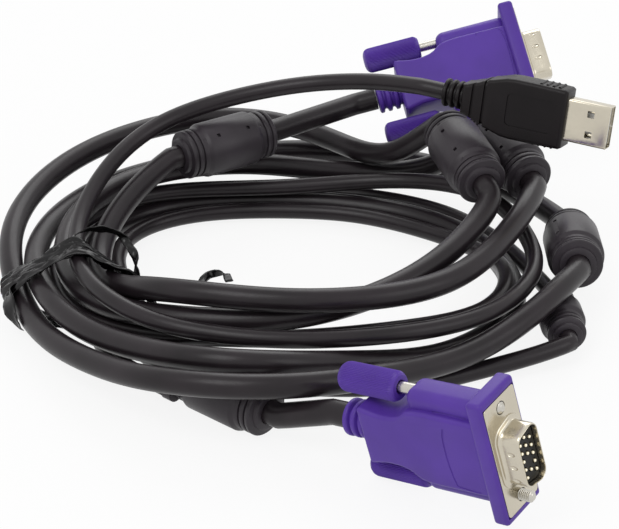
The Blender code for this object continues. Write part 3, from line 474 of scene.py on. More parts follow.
def closestPoints(a, b, c, d):
    # where segments a-b and c-d come closest, as shares along each
    along = b - a
    other = d - c
    start = a - c
    aa = np.einsum("ij,ij->i", along, along) + 1e-18
    bb = np.einsum("ij,ij->i", other, other) + 1e-18
    ab = np.einsum("ij,ij->i", along, other)
    sa = np.einsum("ij,ij->i", along, start)
    sb = np.einsum("ij,ij->i", other, start)
    spread = aa * bb - ab * ab
    share = np.clip((ab * sb - sa * bb) / np.where(spread < 1e-20, 1, spread), 0, 1)
    share = np.where(spread < 1e-20, 0.5, share)
    partner = np.clip((ab * share + sb) / bb, 0, 1)
    share = np.clip((ab * partner - sa) / aa, 0, 1)
    return share, partner


def plugBlocks():
    # round-ended bars that stand for the plugs where a lead passes them
    vgaBars = [((-8, 0, -10), (-22, 0, -10), 6.4), ((-8, 0, 10), (-22, 0, 10), 6.4),
               ((-8, 0, 0), (-34, 0, 0), 7.6), ((-2.5, 0, -10), (-2.5, 0, 10), 7.6),
               ((-26, 0, 12.5), (-48, 0, 12.5), 3.9), ((-26, 0, -12.5), (-48, 0, -12.5), 3.9)]
    usbBars = [((-4, 0, -4.5), (-20, 0, -4.5), 4.6), ((-4, 0, 4.5), (-20, 0, 4.5), 4.6),
               ((-4, 0, 0), (-30, 0, 0), 4.6)]
    blocks = []
    for name, bars in (("near", vgaBars), ("far", vgaBars), ("usb", usbBars)):
        place = plugMatrix(name, False)
        for start, end, radius in bars:
            blocks.append((place @ (Vector(start) * mm), place @ (Vector(end) * mm), radius * mm))
    return blocks


def nearTie(points):
    turn = np.degrees(np.arctan2(coilCentre[0] - points[:, 0], coilCentre[1] - points[:, 1]))
    return np.abs(turn - tie["angle"]) < tie["reach"]


settling = {
    "rounds": 500,
    "slack": 1.3,           # gaps kept between two leads
    "neighbours": 5,        # pieces of one lead that may touch
    "pace": 1.3,            # share of a clash that one round takes out
    "calm": (0.25, 0.04),   # evening out, at first and in the last fifth
    "ground": 0.1 * mm,
}


def settle(leads):
    # moves the leads of the coil apart until none touches another, the plugs or the ground
    points = np.vstack([lead["points"] for lead in leads])
    free = ~np.concatenate([lead["pinned"] for lead in leads])
    radius = np.concatenate([np.full(len(lead["points"]), lead["diameter"] / 2) for lead in leads])
    blocks = plugBlocks()
    fixed = np.array([[*start, *end] for start, end, size in blocks]).reshape(-1, 2, 3)
    total = len(points)
    allPoints = np.vstack([points, fixed.reshape(-1, 3)])
    starts = []
    owner = []
    segmentRadius = []
    offset = 0
    for number, lead in enumerate(leads):
        count = len(lead["points"])
        for index in range(count - 1):
            starts.append((offset + index, offset + index + 1))
            owner.append(number)
            segmentRadius.append(lead["segmentRadius"][index])
        offset += count
    for number, (start, end, size) in enumerate(blocks):
        starts.append((total + 2 * number, total + 2 * number + 1))
        owner.append(-1)
        segmentRadius.append(size)
    starts = np.array(starts)
    owner = np.array(owner)
    segmentRadius = np.array(segmentRadius)
    ends = np.concatenate([lead["nearEnd"] for lead in leads] + [np.zeros(len(blocks), bool)])
    movable = np.concatenate([free, np.zeros(len(fixed) * 2, bool)])
    designed = allPoints.copy()
    one, two = np.triu_indices(len(starts), 1)
    sameLead = owner[one] == owner[two]
    keep = ~(sameLead & (np.abs(one - two) < settling["neighbours"])) & ~((owner[one] < 0) & (owner[two] < 0))
    keep &= ~((owner[two] < 0) & ends[one])
    keep &= ~(~sameLead & ends[two] & (segmentRadius[one] > lay["vgaDiameter"]) & (owner[two] == 1))
    one = one[keep]
    two = two[keep]
    need = segmentRadius[one] + segmentRadius[two] + settling["slack"] * gap
    floor = radius + settling["ground"] + np.where(nearTie(points), tie["room"], 0)
    for turn in range(settling["rounds"]):
        a, b = allPoints[starts[one, 0]], allPoints[starts[one, 1]]
        c, d = allPoints[starts[two, 0]], allPoints[starts[two, 1]]
        share, partner = closestPoints(a, b, c, d)
        between = (a + (b - a) * share[:, None]) - (c + (d - c) * partner[:, None])
        distance = np.linalg.norm(between, axis=1)
        close = distance < need
        if close.any():
            way = between[close] / np.maximum(distance[close], 1e-6)[:, None]
            lack = (need - distance)[close][:, None] * way * 0.5
            push = np.zeros_like(allPoints)
            weight = np.zeros(len(allPoints))
            first, second = starts[one[close]], starts[two[close]]
            share, partner = share[close], partner[close]
            for index, sign, part in ((first[:, 0], 1, 1 - share), (first[:, 1], 1, share),
                                      (second[:, 0], -1, 1 - partner), (second[:, 1], -1, partner)):
                np.add.at(push, index, sign * lack * part[:, None])
                np.add.at(weight, index, part)
            push *= settling["pace"] / np.maximum(weight, 1)[:, None]
            allPoints += np.where(movable[:, None], push, 0)
        offset = 0
        for lead in leads:
            count = len(lead["points"])
            drift = allPoints[offset:offset + count] - designed[offset:offset + count]
            calm = settling["calm"][turn >= settling["rounds"] * 0.8]
            drift[1:-1] += calm * (drift[:-2] + drift[2:] - 2 * drift[1:-1])
            mask = movable[offset:offset + count]
            allPoints[offset:offset + count][mask] = (designed[offset:offset + count] + drift)[mask]
            offset += count
        allPoints[:total, 2] = np.where(free, np.maximum(allPoints[:total, 2], floor), allPoints[:total, 2])
    offset = 0
    for lead in leads:
        count = len(lead["points"])
        lead["points"] = allPoints[offset:offset + count]
        offset += count


leadLook = {
    "stride": 17 * mm,      # how close the points that settle stand
    "step": 2.5 * mm,       # how close the points of the finished curve stand
    "calming": 5,           # rounds that take out the small kinks
    "sides": 6,
}


def makeRoutes():
    near = plugMatrix("near", False)
    far = plugMatrix("far", False)
    usb = plugMatrix("usb", False)
    vgaStart = [near @ Vector((lay["reliefRear"] - gap - reach * mm, 0, 0)) for reach in (0, 6)]
    vgaEnd = [far @ Vector((lay["reliefRear"] - gap - reach * mm, 0, 0)) for reach in (7, 0)]
    middle, direction, lead = chokeAxis("choke_near")
    side = direction.cross(Vector((0, 0, 1)))
    length = chokeSizes["vga"][1]
    junction = middle + direction * (length / 2 + gap) - side * stub["offset"][0]
    junction.z += stub["offset"][1]
    usbStart = [junction, junction + direction * 6 * mm]
    usbEnd = [usb @ Vector((lay["usbReliefRear"] - gap - reach * mm, 0, 0)) for reach in (7, 0)]
    leads = []
    for diameter, route, start, end in ((lay["vgaDiameter"], vgaRoute, vgaStart, vgaEnd),
                                        (lay["usbDiameter"], usbRoute, usbStart, usbEnd)):
        points, pinned = smoothRoute(keyPoints(route, start, end), leadLook["stride"])
        leads.append({"diameter": diameter, "points": points, "pinned": pinned})
    for lead in leads:
        points = lead["points"]
        size = np.full(len(points) - 1, lead["diameter"] / 2)
        for name in chokePlaces:
            middle, direction, kind = chokeAxis(name)
            radius, length, diameter = chokeSizes[kind]
            if diameter != lead["diameter"]:
                continue
            halfway = (points[:-1] + points[1:]) / 2 - np.array(middle)
            along = halfway @ np.array(direction)
            across = np.linalg.norm(halfway - along[:, None] * np.array(direction), axis=1)
            size[(np.abs(along) < length / 2) & (across < 1 * mm)] = radius
        lead["segmentRadius"] = size
        nearEnd = np.zeros(len(size), bool)
        nearEnd[:3] = True
        nearEnd[-3:] = True
        lead["nearEnd"] = nearEnd
    settle(leads)
    return leads


def finePoints(lead):
    # an even, calm curve through the settled points, in the frame of the object
    points = [(point, bool(flag)) for point, flag in zip(lead["points"], lead["pinned"])]
    fine, held = smoothRoute(points, leadLook["step"])
    for turn in range(leadLook["calming"] * 6):
        change = 0.5 * (fine[:-2] + fine[2:]) - fine[1:-1]
        change[held[1:-1]] = 0
        fine[1:-1] += change * 0.5
    return fine + np.array(shift)


# the stub that the thin lead leaves its moulding through
stub = {
    "offset": (5.8 * mm, -2.6 * mm),
    "radius": 2.7 * mm,
    "length": 3.3 * mm,
    "setback": 0.2 * mm,
    "edge": 0.4 * mm,
}
tie = {
    "angle": 75,            # where it goes round the coil
    "reach": 12,            # degrees to either side in which the leads lie in its grip
    "room": 1.2 * mm,       # how far it keeps them off the ground
    "clear": 0.5 * mm,
    "film": 0.25 * mm,
}
leads = makeRoutes()
leadNames = ("vga_lead", "usb_lead")
for name, lead in zip(leadNames, leads):
    lead["fine"] = finePoints(lead)
    curve = bpy.data.curves.new(name + "_jacket", "CURVE")
    curve.dimensions = "3D"
    curve.bevel_depth = lead["diameter"] / 2
    curve.bevel_resolution = leadLook["sides"]
    curve.use_fill_caps = True
    spline = curve.splines.new("POLY")
    spline.points.add(len(lead["fine"]) - 1)
    for point, place in zip(spline.points, lead["fine"]):
        point.co = (*place, 1)
    spline.use_smooth = True
    curve.materials.append(materials["blackPvc"])
    piece = bpy.data.objects.new(name + "_jacket", curve)
    bpy.context.scene.collection.objects.link(piece)
    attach(piece, "cable")
    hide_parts(name)
    lead["length"] = float(np.linalg.norm(np.diff(lead["fine"], axis=0), axis=1).sum())
    print(name, "made:", round(lead["length"], 3), "m")

# Ferrite mouldings
chokeLook = {
    "grooveDepth": 0.55 * mm,
    "groovePitch": 1.9 * mm,
    "pinHole": 0.55 * mm,       # the small holes that the tool's pins leave
    "pinPlaces": (6.0 * mm, 10.5 * mm),
    "pinTurns": (40, 140),
}


def makeChoke(name):
    middle, direction, lead = chokeAxis(name)
    radius, length, diameter = chokeSizes[lead]
    bore = diameter / 2 + 0.1 * mm
    half = length / 2
    collar = radius - 0.9 * mm
    side = [(half, bore), (half, radius * 0.58), (half - 0.25 * mm, radius * 0.64),
            (half - 1.1 * mm, radius * 0.67), (half - 1.35 * mm, collar - 0.3 * mm),
            (half - 1.7 * mm, collar)]
    for ring in range(2):
        start = half - 2.4 * mm - chokeLook["groovePitch"] * ring
        low = collar - chokeLook["grooveDepth"]
        side += [(start, collar), (start - 0.15 * mm, collar - 0.1 * mm), (start - 0.3 * mm, low),
                 (start - 0.6 * mm, low), (start - 0.75 * mm, collar - 0.1 * mm), (start - 0.9 * mm, collar)]
    side += [(half - 6.3 * mm, collar), (half - 6.6 * mm, collar + 0.15 * mm),
             (half - 7.2 * mm, radius - 0.15 * mm), (half - 7.6 * mm, radius)]
    profile = side + [(-along, across) for along, across in reversed(side)]
    body = turned(profile, 64, True)
    turn = direction.to_track_quat("X", "Z").to_matrix().to_4x4()
    place = Matrix.Translation(middle + shift) @ turn
    holes = []
    hole = chokeLook["pinHole"]
    places = [-half + inward for inward in chokeLook["pinPlaces"]]
    for along in places + [-place for place in reversed(places)]:
        for angle in chokeLook["pinTurns"]:
            peg = roundedBox((along - hole, -hole, radius - 1 * mm), (along + hole, hole, radius + 1 * mm),
                             hole * 0.45, 2)
            peg.transform(Matrix.Rotation(math.radians(angle), 4, "X"))
            holes.append((peg, "DIFFERENCE"))
    if name == "choke_near":
        front, wide = half - stub["setback"], stub["radius"]
        shape = [(front - stub["length"], 0), (front - stub["length"], wide), (front - stub["edge"], wide),
                 (front, wide - stub["edge"]), (front, 0)]
        boss = turned(shape, 40)
        boss.transform(Matrix.Translation((0, *stub["offset"])))
        holes.append((boss, "UNION"))
    body = carve(body, holes)
    return addPiece(name + "_moulding", body, "chokePvc", "cable", [name], place)


for name in chokePlaces:
    makeChoke(name)
print("ferrite mouldings made")

# The two screen plugs, in millimetres along their own axes: X out of the front face, Z along the long side
hoodLook = {
    "flange": ((-4.6, -7.2, -17.4), (-0.1, 7.2, 17.4), 1.1),
    "channel": ((-25.4, -4.3, -14.6), (-3, 4.3, 14.6), 2.7),
    "thick": 12.4,
    "rim": 1.5,                 # rounding of the thick centre
    "groove": 0.3,              # radius of the engraved lines
    "bore": 1.8,
    "plate": (12.5, 30.8, 0.5),
    "relief": (-39.7, -47.0, 4.75, 3),
}
# engraved lines on the flat faces: along X, along Z, and the face they lie on
nearGrooves = [([(-17, 10.8), (-12, 10.8), (-7.5, 10.6)], 4.3),
               ([(-13.6, 7.7), (-14.3, 5.2), (-14.5, 2.5), (-14.5, -0.5), (-14.4, -3), (-14, -6.2),
                 (-13.4, -8.9), (-10, -9.3), (-6.8, -9.4)], 6.2)]
farGrooves = [([(-13.4, 9.2), (-13.3, 10.0)], 6.2),
              ([(-13.2, 9.9), (-9.5, 10.0), (-6.6, 9.6), (-5.6, 8.4), (-5.1, 5), (-5.0, 1.6), (-5.1, -1.7),
                (-5.3, -5.2), (-5.6, -8.5)], 6.2)]
shellLook = {
    "long": 16.9, "short": 8.3, "slant": 10.0, "corner": 2.6, "wall": 0.45, "hole": 1.7,
    # the front of the black insulator block, set near the shell's lip: partly the real insulator, partly
    # painted shade for the shell's dark hollow, so only the pin tips stand out of it
    "insertFace": 4.4, "dimplePitch": 3.8,
    "pinTip": 5.0, "pinRadius": 0.45,
    "pinPitch": 2.29, "rowPitch": 1.98,
}
dimplePlaces = {"near": -1.2, "far": 1.8}
knobLook = {
    "radius": 3.8,
    "length": 17.5,
    "ridges": 56,
    "ridge": 0.16,
    "ridgedFrom": 3.55,         # radius from which the knob is ridged
    "shaft": 1.5,
    "reach": 4.0,               # screw in front of the plate, less the knob's gap
    "threads": 10,
}


def scaled(points):
    return [tuple(value * mm for value in point) for point in points]


def mirroredOutline(side):
    return scaled(side + [(x, -z) for x, z in reversed(side)])


def reliefProfile(front, rear, radius, rings):
    # soft rings with narrow grooves between them, out to the lead
    pitch = (front - rear) / rings
    low = radius * 0.78
    profile = [(front + 2.2, 0), (front + 2.2, low)]
    for ring in range(rings):
        start = front - pitch * ring
        for share, lift in ((0.1, 0), (0.3, 0), (0.36, 0.35), (0.42, 0.75), (0.5, 0.95), (0.58, 1), (0.8, 1),
                            (0.88, 0.95), (0.94, 0.75), (0.99, 0.35)):
            profile.append((start - share * pitch, low + (radius - low) * lift))
    profile += [(rear, low + (radius - low) * 0.2), (rear, 0)]
    return scaled(profile)


def rod(radius, start, end, height=0.0, sides=32):
    bm = bmesh.new()
    turn = Matrix.Translation(((start + end) / 2, 0, height)) @ Matrix.Rotation(math.pi / 2, 4, "Y")
    bmesh.ops.create_cone(bm, cap_ends=True, segments=sides, radius1=radius, radius2=radius,
                          depth=end - start, matrix=turn)
    return meshOf(bm, "rod")


def roundedOutline(width, height, corner, steps=5):
    points = []
    for number, (right, up) in enumerate(((1, 1), (-1, 1), (-1, -1), (1, -1))):
        for step in range(steps + 1):
            turn = math.pi / 2 * (number + step / steps)
            points.append((right * (width / 2 - corner) + corner * math.cos(turn),
                           up * (height / 2 - corner) + corner * math.sin(turn)))
    return points


def shellOutline(wideSide, inset, steps=8):
    # the D shape in Y-Z, its wide side at +Y or -Y, drawn in from the outside by inset
    halfWide = shellLook["long"] / 2
    halfNarrow = halfWide - shellLook["short"] * math.tan(math.radians(shellLook["slant"]))
    half = shellLook["short"] / 2
    corners = [(-half, halfWide), (-half, -halfWide), (half, -halfNarrow), (half, halfNarrow)]
    corner = shellLook["corner"]
    points = []
    for index, (y, z) in enumerate(corners):
        before = (Vector(corners[index - 1]) - Vector((y, z))).normalized()
        after = (Vector(corners[(index + 1) % 4]) - Vector((y, z))).normalized()
        centre = Vector((y, z)) + (before + after).normalized() * corner / math.sin(before.angle(after) / 2)
        outward = [-(after - before * before.dot(after)), -(before - after * before.dot(after))]
        angles = [math.atan2(side.y, side.x) for side in outward]
        sweep = (angles[1] - angles[0] + math.pi) % (2 * math.pi) - math.pi
        for step in range(steps + 1):
            turn = angles[0] + sweep * step / steps
            across = centre.x + (corner - inset) * math.cos(turn)
            points.append((-wideSide * across * mm, (centre.y + (corner - inset) * math.sin(turn)) * mm))
    return points


def ringOf(outlines, closed=True):
    # bridges loops of (place along X, outline in Y-Z) into one surface
    bm = bmesh.new()
    rings = []
    for along, outline in outlines:
        rings.append([bm.verts.new((along * mm, y, z)) for y, z in outline])
    pairs = list(zip(rings, rings[1:]))
    if closed:
        pairs.append((rings[-1], rings[0]))
    for first, second in pairs:
        count = len(first)
        for index in range(count):
            after = (index + 1) % count
            bm.faces.new((first[index], first[after], second[after], second[index]))
    return meshOf(bm, "ring")


def makeHood(name):
    low, high, width = hoodLook["flange"]
    hood = roundedBox(scaled([low])[0], scaled([high])[0], width * mm, 5)
    low, high, width = hoodLook["channel"]
    channel = roundedBox(scaled([low])[0], scaled([high])[0], width * mm, 8)
    half = hoodLook["thick"] / 2 * mm
    side = [(-4, 10.4), (-12, 10.5), (-19, 10.6), (-22.5, 10.4), (-24.6, 9.9), (-25.8, 9.1), (-27, 8.2),
            (-28.5, 7.6), (-30.5, 7.25), (-32.5, 7.2), (-34.5, 7.35), (-36.5, 7.7), (-38, 8.1), (-39, 8.15),
            (-39.7, 7.6)]
    body = slab(mirroredOutline(side), -half, half, hoodLook["rim"] * mm, 6)
    front, rear, radius, rings = hoodLook["relief"]
    relief = turned(reliefProfile(front, rear, radius, rings), 64)
    steps = [(channel, "UNION"), (body, "UNION"), (relief, "UNION")]
    for up in (-1, 1):
        bore = rod(hoodLook["bore"] * mm, -28 * mm, 2 * mm, up * lay["screwSpacing"] / 2)
        steps.append((bore, "DIFFERENCE"))
    short, long, thick = hoodLook["plate"]
    pocket = roundedBox(scaled([(-thick - 0.15, -short / 2 - 0.15, -long / 2 - 0.15)])[0],
                        scaled([(1, short / 2 + 0.15, long / 2 + 0.15)])[0])
    well = roundedBox(scaled([(-3.5, -4.4, -8.8)])[0], scaled([(1, 4.4, 8.8)])[0])
    steps += [(pocket, "DIFFERENCE"), (well, "DIFFERENCE")]
    own, other = (nearGrooves, farGrooves) if name == "near" else (farGrooves, nearGrooves)
    for grooves, facing in ((own, -1), (other, 1)):
        for line, depth in grooves:
            points = [(x * mm, facing * (depth + 0.08) * mm, z * mm) for x, z in line]
            steps.append((tube(points, hoodLook["groove"] * mm, 2), "DIFFERENCE"))
    hood = carve(hood, steps)
    addPiece(name + "_hood_moulding", hood, "purplePvc", "cable", [name + "_hood"],
             plugMatrix(name), 40)


def makeShell(name):
    wide = wideSides[name]
    short, long, thick = hoodLook["plate"]
    plate = slab(roundedOutline(short * mm, long * mm, 0.9 * mm), -thick * mm, 0, 0.1 * mm, 2, upright=True)
    steps = [(slab(shellOutline(wide, 0.5), -2 * mm, 2 * mm, upright=True), "DIFFERENCE")]
    for up in (-1, 1):
        hole = rod(shellLook["hole"] * mm, -2 * mm, 2 * mm, up * lay["screwSpacing"] / 2)
        steps.append((hole, "DIFFERENCE"))
    # the pressed skirt: a step at the plate, a fillet, the wall, a rounded lip and the inside
    section = [(-0.35, -1.25), (0.22, -1.25), (0.36, -1.14), (0.42, -0.9), (0.44, -0.62), (0.52, -0.34),
               (0.72, -0.14), (1.05, -0.03), (1.5, 0), (3.5, 0), (5.3, 0), (5.62, 0.05), (5.82, 0.14),
               (5.9, 0.26), (5.84, 0.38), (5.6, 0.45), (3.5, 0.45), (-0.35, 0.45)]
    skirt = ringOf([(along, shellOutline(wide, inset)) for along, inset in section])
    dents = []
    middle, pitch = dimplePlaces[name], shellLook["dimplePitch"]
    for step in (-1, 0, 1):
        for face in (-1, 1):
            bm = bmesh.new()
            place = Vector((3.15, face * (shellLook["short"] / 2 + 0.12), middle + step * pitch)) * mm
            stretch = Matrix.Diagonal((1.15, 0.42, 0.62, 1))
            bmesh.ops.create_uvsphere(bm, u_segments=20, v_segments=12, radius=1 * mm,
                                      matrix=Matrix.Translation(place) @ stretch)
            dents.append((meshOf(bm, "dent"), "DIFFERENCE"))
    skirt = carve(skirt, dents)
    shell = carve(plate, steps + [(skirt, "UNION")])
    addPiece(name + "_shell_pressing", shell, "nickel", "cable", [name + "_shell"],
             plugMatrix(name), 38)


def pinPlaces():
    places = []
    for row in (-1, 0, 1):
        for column in range(5):
            if row == 0 and column == 1:
                continue
            stagger = shellLook["pinPitch"] / 2 if row == 0 else 0
            along = (column - 2) * shellLook["pinPitch"] + stagger - shellLook["pinPitch"] / 4
            places.append((row * shellLook["rowPitch"] * mm, along * mm))
    return places


def makeInsert(name):
    # the black insulator, its face brought up near the shell's lip: partly the real insulator, partly a dark
    # block put in the shell's hollow as painted shade, so only the pin tips show
    face = shellLook["insertFace"] * mm
    outline = shellOutline(wideSides[name], shellLook["wall"] + 0.12)
    block = slab(outline, -3.2 * mm, face, 0.15 * mm, 2, upright=True)
    holes = []
    for y, z in pinPlaces():
        hole = rod((shellLook["pinRadius"] + 0.22) * mm, face - 0.8 * mm, face + 1 * mm, z, 24)
        holes.append((moved(hole, Matrix.Translation((0, y, 0))), "DIFFERENCE"))
    addPiece(name + "_insulator", carve(block, holes), "insertBlack", "cable",
             [name + "_insert"], plugMatrix(name))
    tip = shellLook["pinTip"]
    radius = shellLook["pinRadius"]
    profile = scaled([(tip, 0), (tip - 0.03, radius * 0.45), (tip - 0.14, radius * 0.8), (tip - 0.35, radius),
                      (tip - 3, radius), (tip - 3, 0)])
    pins = bmesh.new()
    for y, z in pinPlaces():
        pin = moved(turned(profile, 20), Matrix.Translation((0, y, z)))
        pins.from_mesh(pin)
    names = [f"{name}_pin_{number:02d}" for number in range(1, len(pinPlaces()) + 1)]
    addPiece(name + "_contacts", meshOf(pins, "pins"), "pinPlate", "cable", names,
             plugMatrix(name), 50)


def makeScrew(name, up):
    label = name + ("_upper" if up > 0 else "_lower")
    front = lay["channelRear"] / mm - knobGaps[label]
    rear = front - knobLook["length"]
    tip = knobLook["reach"] - knobGaps[label]
    radius = knobLook["shaft"]
    place = plugMatrix(name) @ Matrix.Translation((0, 0, up * lay["screwSpacing"] / 2))
    profile = [(tip, 0), (tip, radius * 0.55), (tip - 0.3, radius * 0.78)]
    for turn in range(knobLook["threads"]):
        start = tip - 0.35 - 0.5 * turn
        profile += [(start, radius * 0.8), (start - 0.2, radius * 0.98), (start - 0.3, radius * 0.98),
                    (start - 0.48, radius * 0.8)]
    profile += [(tip - 5.6, radius * 0.8), (tip - 5.9, radius), (front - 9.1, radius), (front - 9.1, 0)]
    addPiece(label + "_screw_turned", turned(scaled(profile), 40), "steel", label + "_screw",
             [label + "_screw"], place, 30)
    outer = knobLook["radius"]
    edge = [(front, 1.8), (front, 2.75), (front - 0.05, 2.95), (front - 0.4, 3.3), (front - 0.85, 3.6)]
    ridged = [(front - 1.2, outer - 0.04), (front - 1.4, outer), (front - 5, outer), (front - 9, outer),
              (front - 13, outer), (rear + 2.4, outer), (rear + 1.9, outer - 0.03)]
    end = [(rear + 1.3, 3.62), (rear + 0.7, 3.2), (rear + 0.3, 2.6), (rear + 0.08, 1.8), (rear, 0.9),
           (rear, 0)]
    profile = edge + ridged + end + [(front - 9.4, 0), (front - 9.4, 1.8)]
    mesh = turned(scaled(profile), knobLook["ridges"] * 2, True)
    for vert in mesh.vertices:
        across = math.hypot(vert.co.y, vert.co.z)
        turn = math.atan2(vert.co.z, vert.co.y)
        number = round(turn / (math.pi / knobLook["ridges"]))
        if across > knobLook["ridgedFrom"] * mm and number % 2:
            vert.co.y *= 1 - knobLook["ridge"] * mm / across
            vert.co.z *= 1 - knobLook["ridge"] * mm / across
    addPiece(label + "_knob_moulding", mesh, "purplePvc", label + "_knob", [label + "_knob"],
             place, 24)


for name in ("near", "far"):
    makeHood(name)
    makeShell(name)
    makeInsert(name)
    makeScrew(name, 1)
    makeScrew(name, -1)
    print(name, "plug made")

# The flat black plug, in the same way
usbLook = {
    "thick": 8.4,
    "rim": 1.5,
    "relief": (-31.0, -37.0, 4.0, 3),
    "ridges": (-3.4, -5.2, -7.0, -8.8),      # grip ridges on the narrow sides
    "ridge": 0.45,
    "ridgeHeight": 8.45,
    "panel": (-17.5, -3.6, -4.6, 4.6, 0.3),  # bare recessed field on both wide faces
    "grooves": (-24.2, -27.6),               # deep grooves round the rear
    "shell": (4.5, 12.0, 0.3, 11.8),
    "window": (2.0, 1.9, 6.4, 2.9),          # size and place of the two windows
    "contacts": (-3.5, -1.0, 1.0, 3.5),
}


def rings(places, radius, half, thick):
    # narrow grooves cut all round a flat bar
    cuts = []
    for along in places:
        outer = roundedOutline(thick * 3 * mm, half * 4 * mm, 1 * mm)
        inner = roundedOutline((thick - 1.3) * mm, (half * 2 - 1.5) * mm, 1.6 * mm)
        cut = ringOf([(along - radius, outer), (along + radius, outer), (along + radius, inner),
                      (along - radius, inner)])
        cuts.append((cut, "DIFFERENCE"))
    return cuts


def makeUsbPlug():
    place = plugMatrix("usb")
    side = [(-0.4, 7.9), (-1.2, 8.4), (-4, 8.5), (-10, 8.6), (-16, 8.6), (-18.5, 8.35), (-20.5, 7.75),
            (-22.2, 7.2), (-23.4, 6.95), (-25.4, 6.15), (-26.4, 5.6), (-28.4, 4.95), (-29.8, 4.4), (-31, 4.2)]
    half = usbLook["thick"] / 2
    body = slab(mirroredOutline(side), -half * mm, half * mm, usbLook["rim"] * mm, 6)
    front, rear, radius, count = usbLook["relief"]
    steps = [(turned(reliefProfile(front, rear, radius, count), 64), "UNION")]
    for along in usbLook["ridges"]:
        for up in (-1, 1):
            bump = rod(usbLook["ridge"] * mm, -(half - 1.6) * mm, (half - 1.6) * mm, 0, 16)
            lift = Matrix.Translation((along * mm, 0, up * usbLook["ridgeHeight"] * mm))
            bump.transform(lift @ Matrix.Rotation(math.pi / 2, 4, "Z"))
            steps.append((bump, "UNION"))
    rear, front, low, high, deep = usbLook["panel"]
    for face in (-1, 1):
        ends = sorted((face * (half - deep), face * (half + 1)))
        outline = scaled([((front + rear) / 2 + a, (low + high) / 2 + b)
                          for a, b in roundedOutline(front - rear, high - low, 1.4)])
        field = slab(outline, ends[0] * mm, ends[1] * mm)
        steps.append((field, "DIFFERENCE"))
    steps += rings(usbLook["grooves"], 0.42, 7.0, usbLook["thick"])
    short, long, wall, out = usbLook["shell"]
    outline = roundedOutline((short + 0.1) * mm, (long + 0.1) * mm, 0.6 * mm)
    socket = slab(outline, -8.3 * mm, 1 * mm, upright=True)
    steps.append((socket, "DIFFERENCE"))
    addPiece("usb_overmould_body", carve(body, steps), "plugBlack", "cable", ["usb_overmould"],
             place, 40)
    outer = roundedOutline(short * mm, long * mm, 0.6 * mm)
    lip = roundedOutline((short - 0.12) * mm, (long - 0.12) * mm, 0.55 * mm)
    inner = roundedOutline((short - 2 * wall) * mm, (long - 2 * wall) * mm, 0.35 * mm)
    shell = ringOf([(-8, outer), (out - 0.1, outer), (out, lip), (out, inner), (-8, inner)])
    steps = []
    for up in (-1, 1):
        long, wide, across, aside = usbLook["window"]
        outline = scaled([(across + a, up * aside + b) for a, b in roundedOutline(long, wide, 0.25)])
        hole = slab(outline, -4 * mm, 4 * mm)
        steps.append((hole, "DIFFERENCE"))
    # the seam along the underside
    steps.append((roundedBox((-1 * mm, 1.9 * mm, -0.06 * mm), (13 * mm, 3 * mm, 0.06 * mm)), "DIFFERENCE"))
    addPiece("usb_shell_folded", carve(shell, steps), "nickel", "cable", ["usb_shell"], place)
    block = slab(roundedOutline((short - 2 * wall - 0.12) * mm, (long - 2 * wall - 0.12) * mm, 0.3 * mm),
                 -7.6 * mm, 0.5 * mm, 0.1 * mm, 2, upright=True)
    blade = roundedBox((0, -0.1 * mm, -5.3 * mm), ((out - 0.8) * mm, 1.7 * mm, 5.3 * mm), 0.15 * mm, 3)
    tongue = carve(block, [(blade, "UNION")])
    addPiece("usb_tongue_block", tongue, "whitePlastic", "cable", ["usb_tongue"], place)
    strips = bmesh.new()
    for across in usbLook["contacts"]:
        low, high = scaled([(1.5, -0.22, across - 0.5), (10.3, 0.1, across + 0.5)])
        strips.from_mesh(roundedBox(low, high, 0.08 * mm, 2))
    addPiece("usb_contacts", meshOf(strips, "strips"), "pinPlate", "cable", [], place)


makeUsbPlug()
print("flat plug made")

# The film tie: a crumpled band round the coil with loose ends
tieLook = {
    "columns": 150,
    "rows": 22,
    "width": 8.5 * mm,          # the film is bunched, so it spreads along the leads
    "puff": 0.5 * mm,
    "crease": 1.1 * mm,
    "turn": 96,                 # it runs aslant over the coil
    "aside": -27 * mm,
    "slice": 2.5 * mm,          # how much of the leads counts for one outline
    "lean": 2.5 * mm,
    "fold": 0.7 * mm,           # depth of the folds in the loose ends
}
# the loose ends: route in millimetres, width, twist and seed
looseEnds = (
    ([(-77, -5, 13), (-70, -5.5, 20), (-62, -6.5, 23), (-54, -8, 19), (-46, -9.5, 14)], 4, 2.5, 3),
    ([(-68, -4, 21), (-62, 1, 24.5), (-54, 2, 24), (-49, -1, 21), (-47.5, -8, 15)], 2.5, -3, 8),
    ([(-79, -5, 13), (-82, -8, 10), (-81, -13, 7), (-78, -17, 5)], 4.5, 2, 12),
    ([(-46, -9.5, 14), (-41, -9, 13), (-36, -6, 12.5), (-33, -7.5, 12.5), (-30, -5, 12.5), (-27, 0, 12),
      (-23.5, 0.5, 11.5), (-22, -3, 11)], 2.2, 6, 5),
)


def tieDirections():
    turn = math.radians(tieLook["turn"])
    return Vector((-math.sin(turn), -math.cos(turn), 0)), Vector((-math.cos(turn), math.sin(turn), 0))


def turnsRight(before, here, after):
    return (here[0] - before[0]) * (after[1] - before[1]) <= (here[1] - before[1]) * (after[0] - before[0])


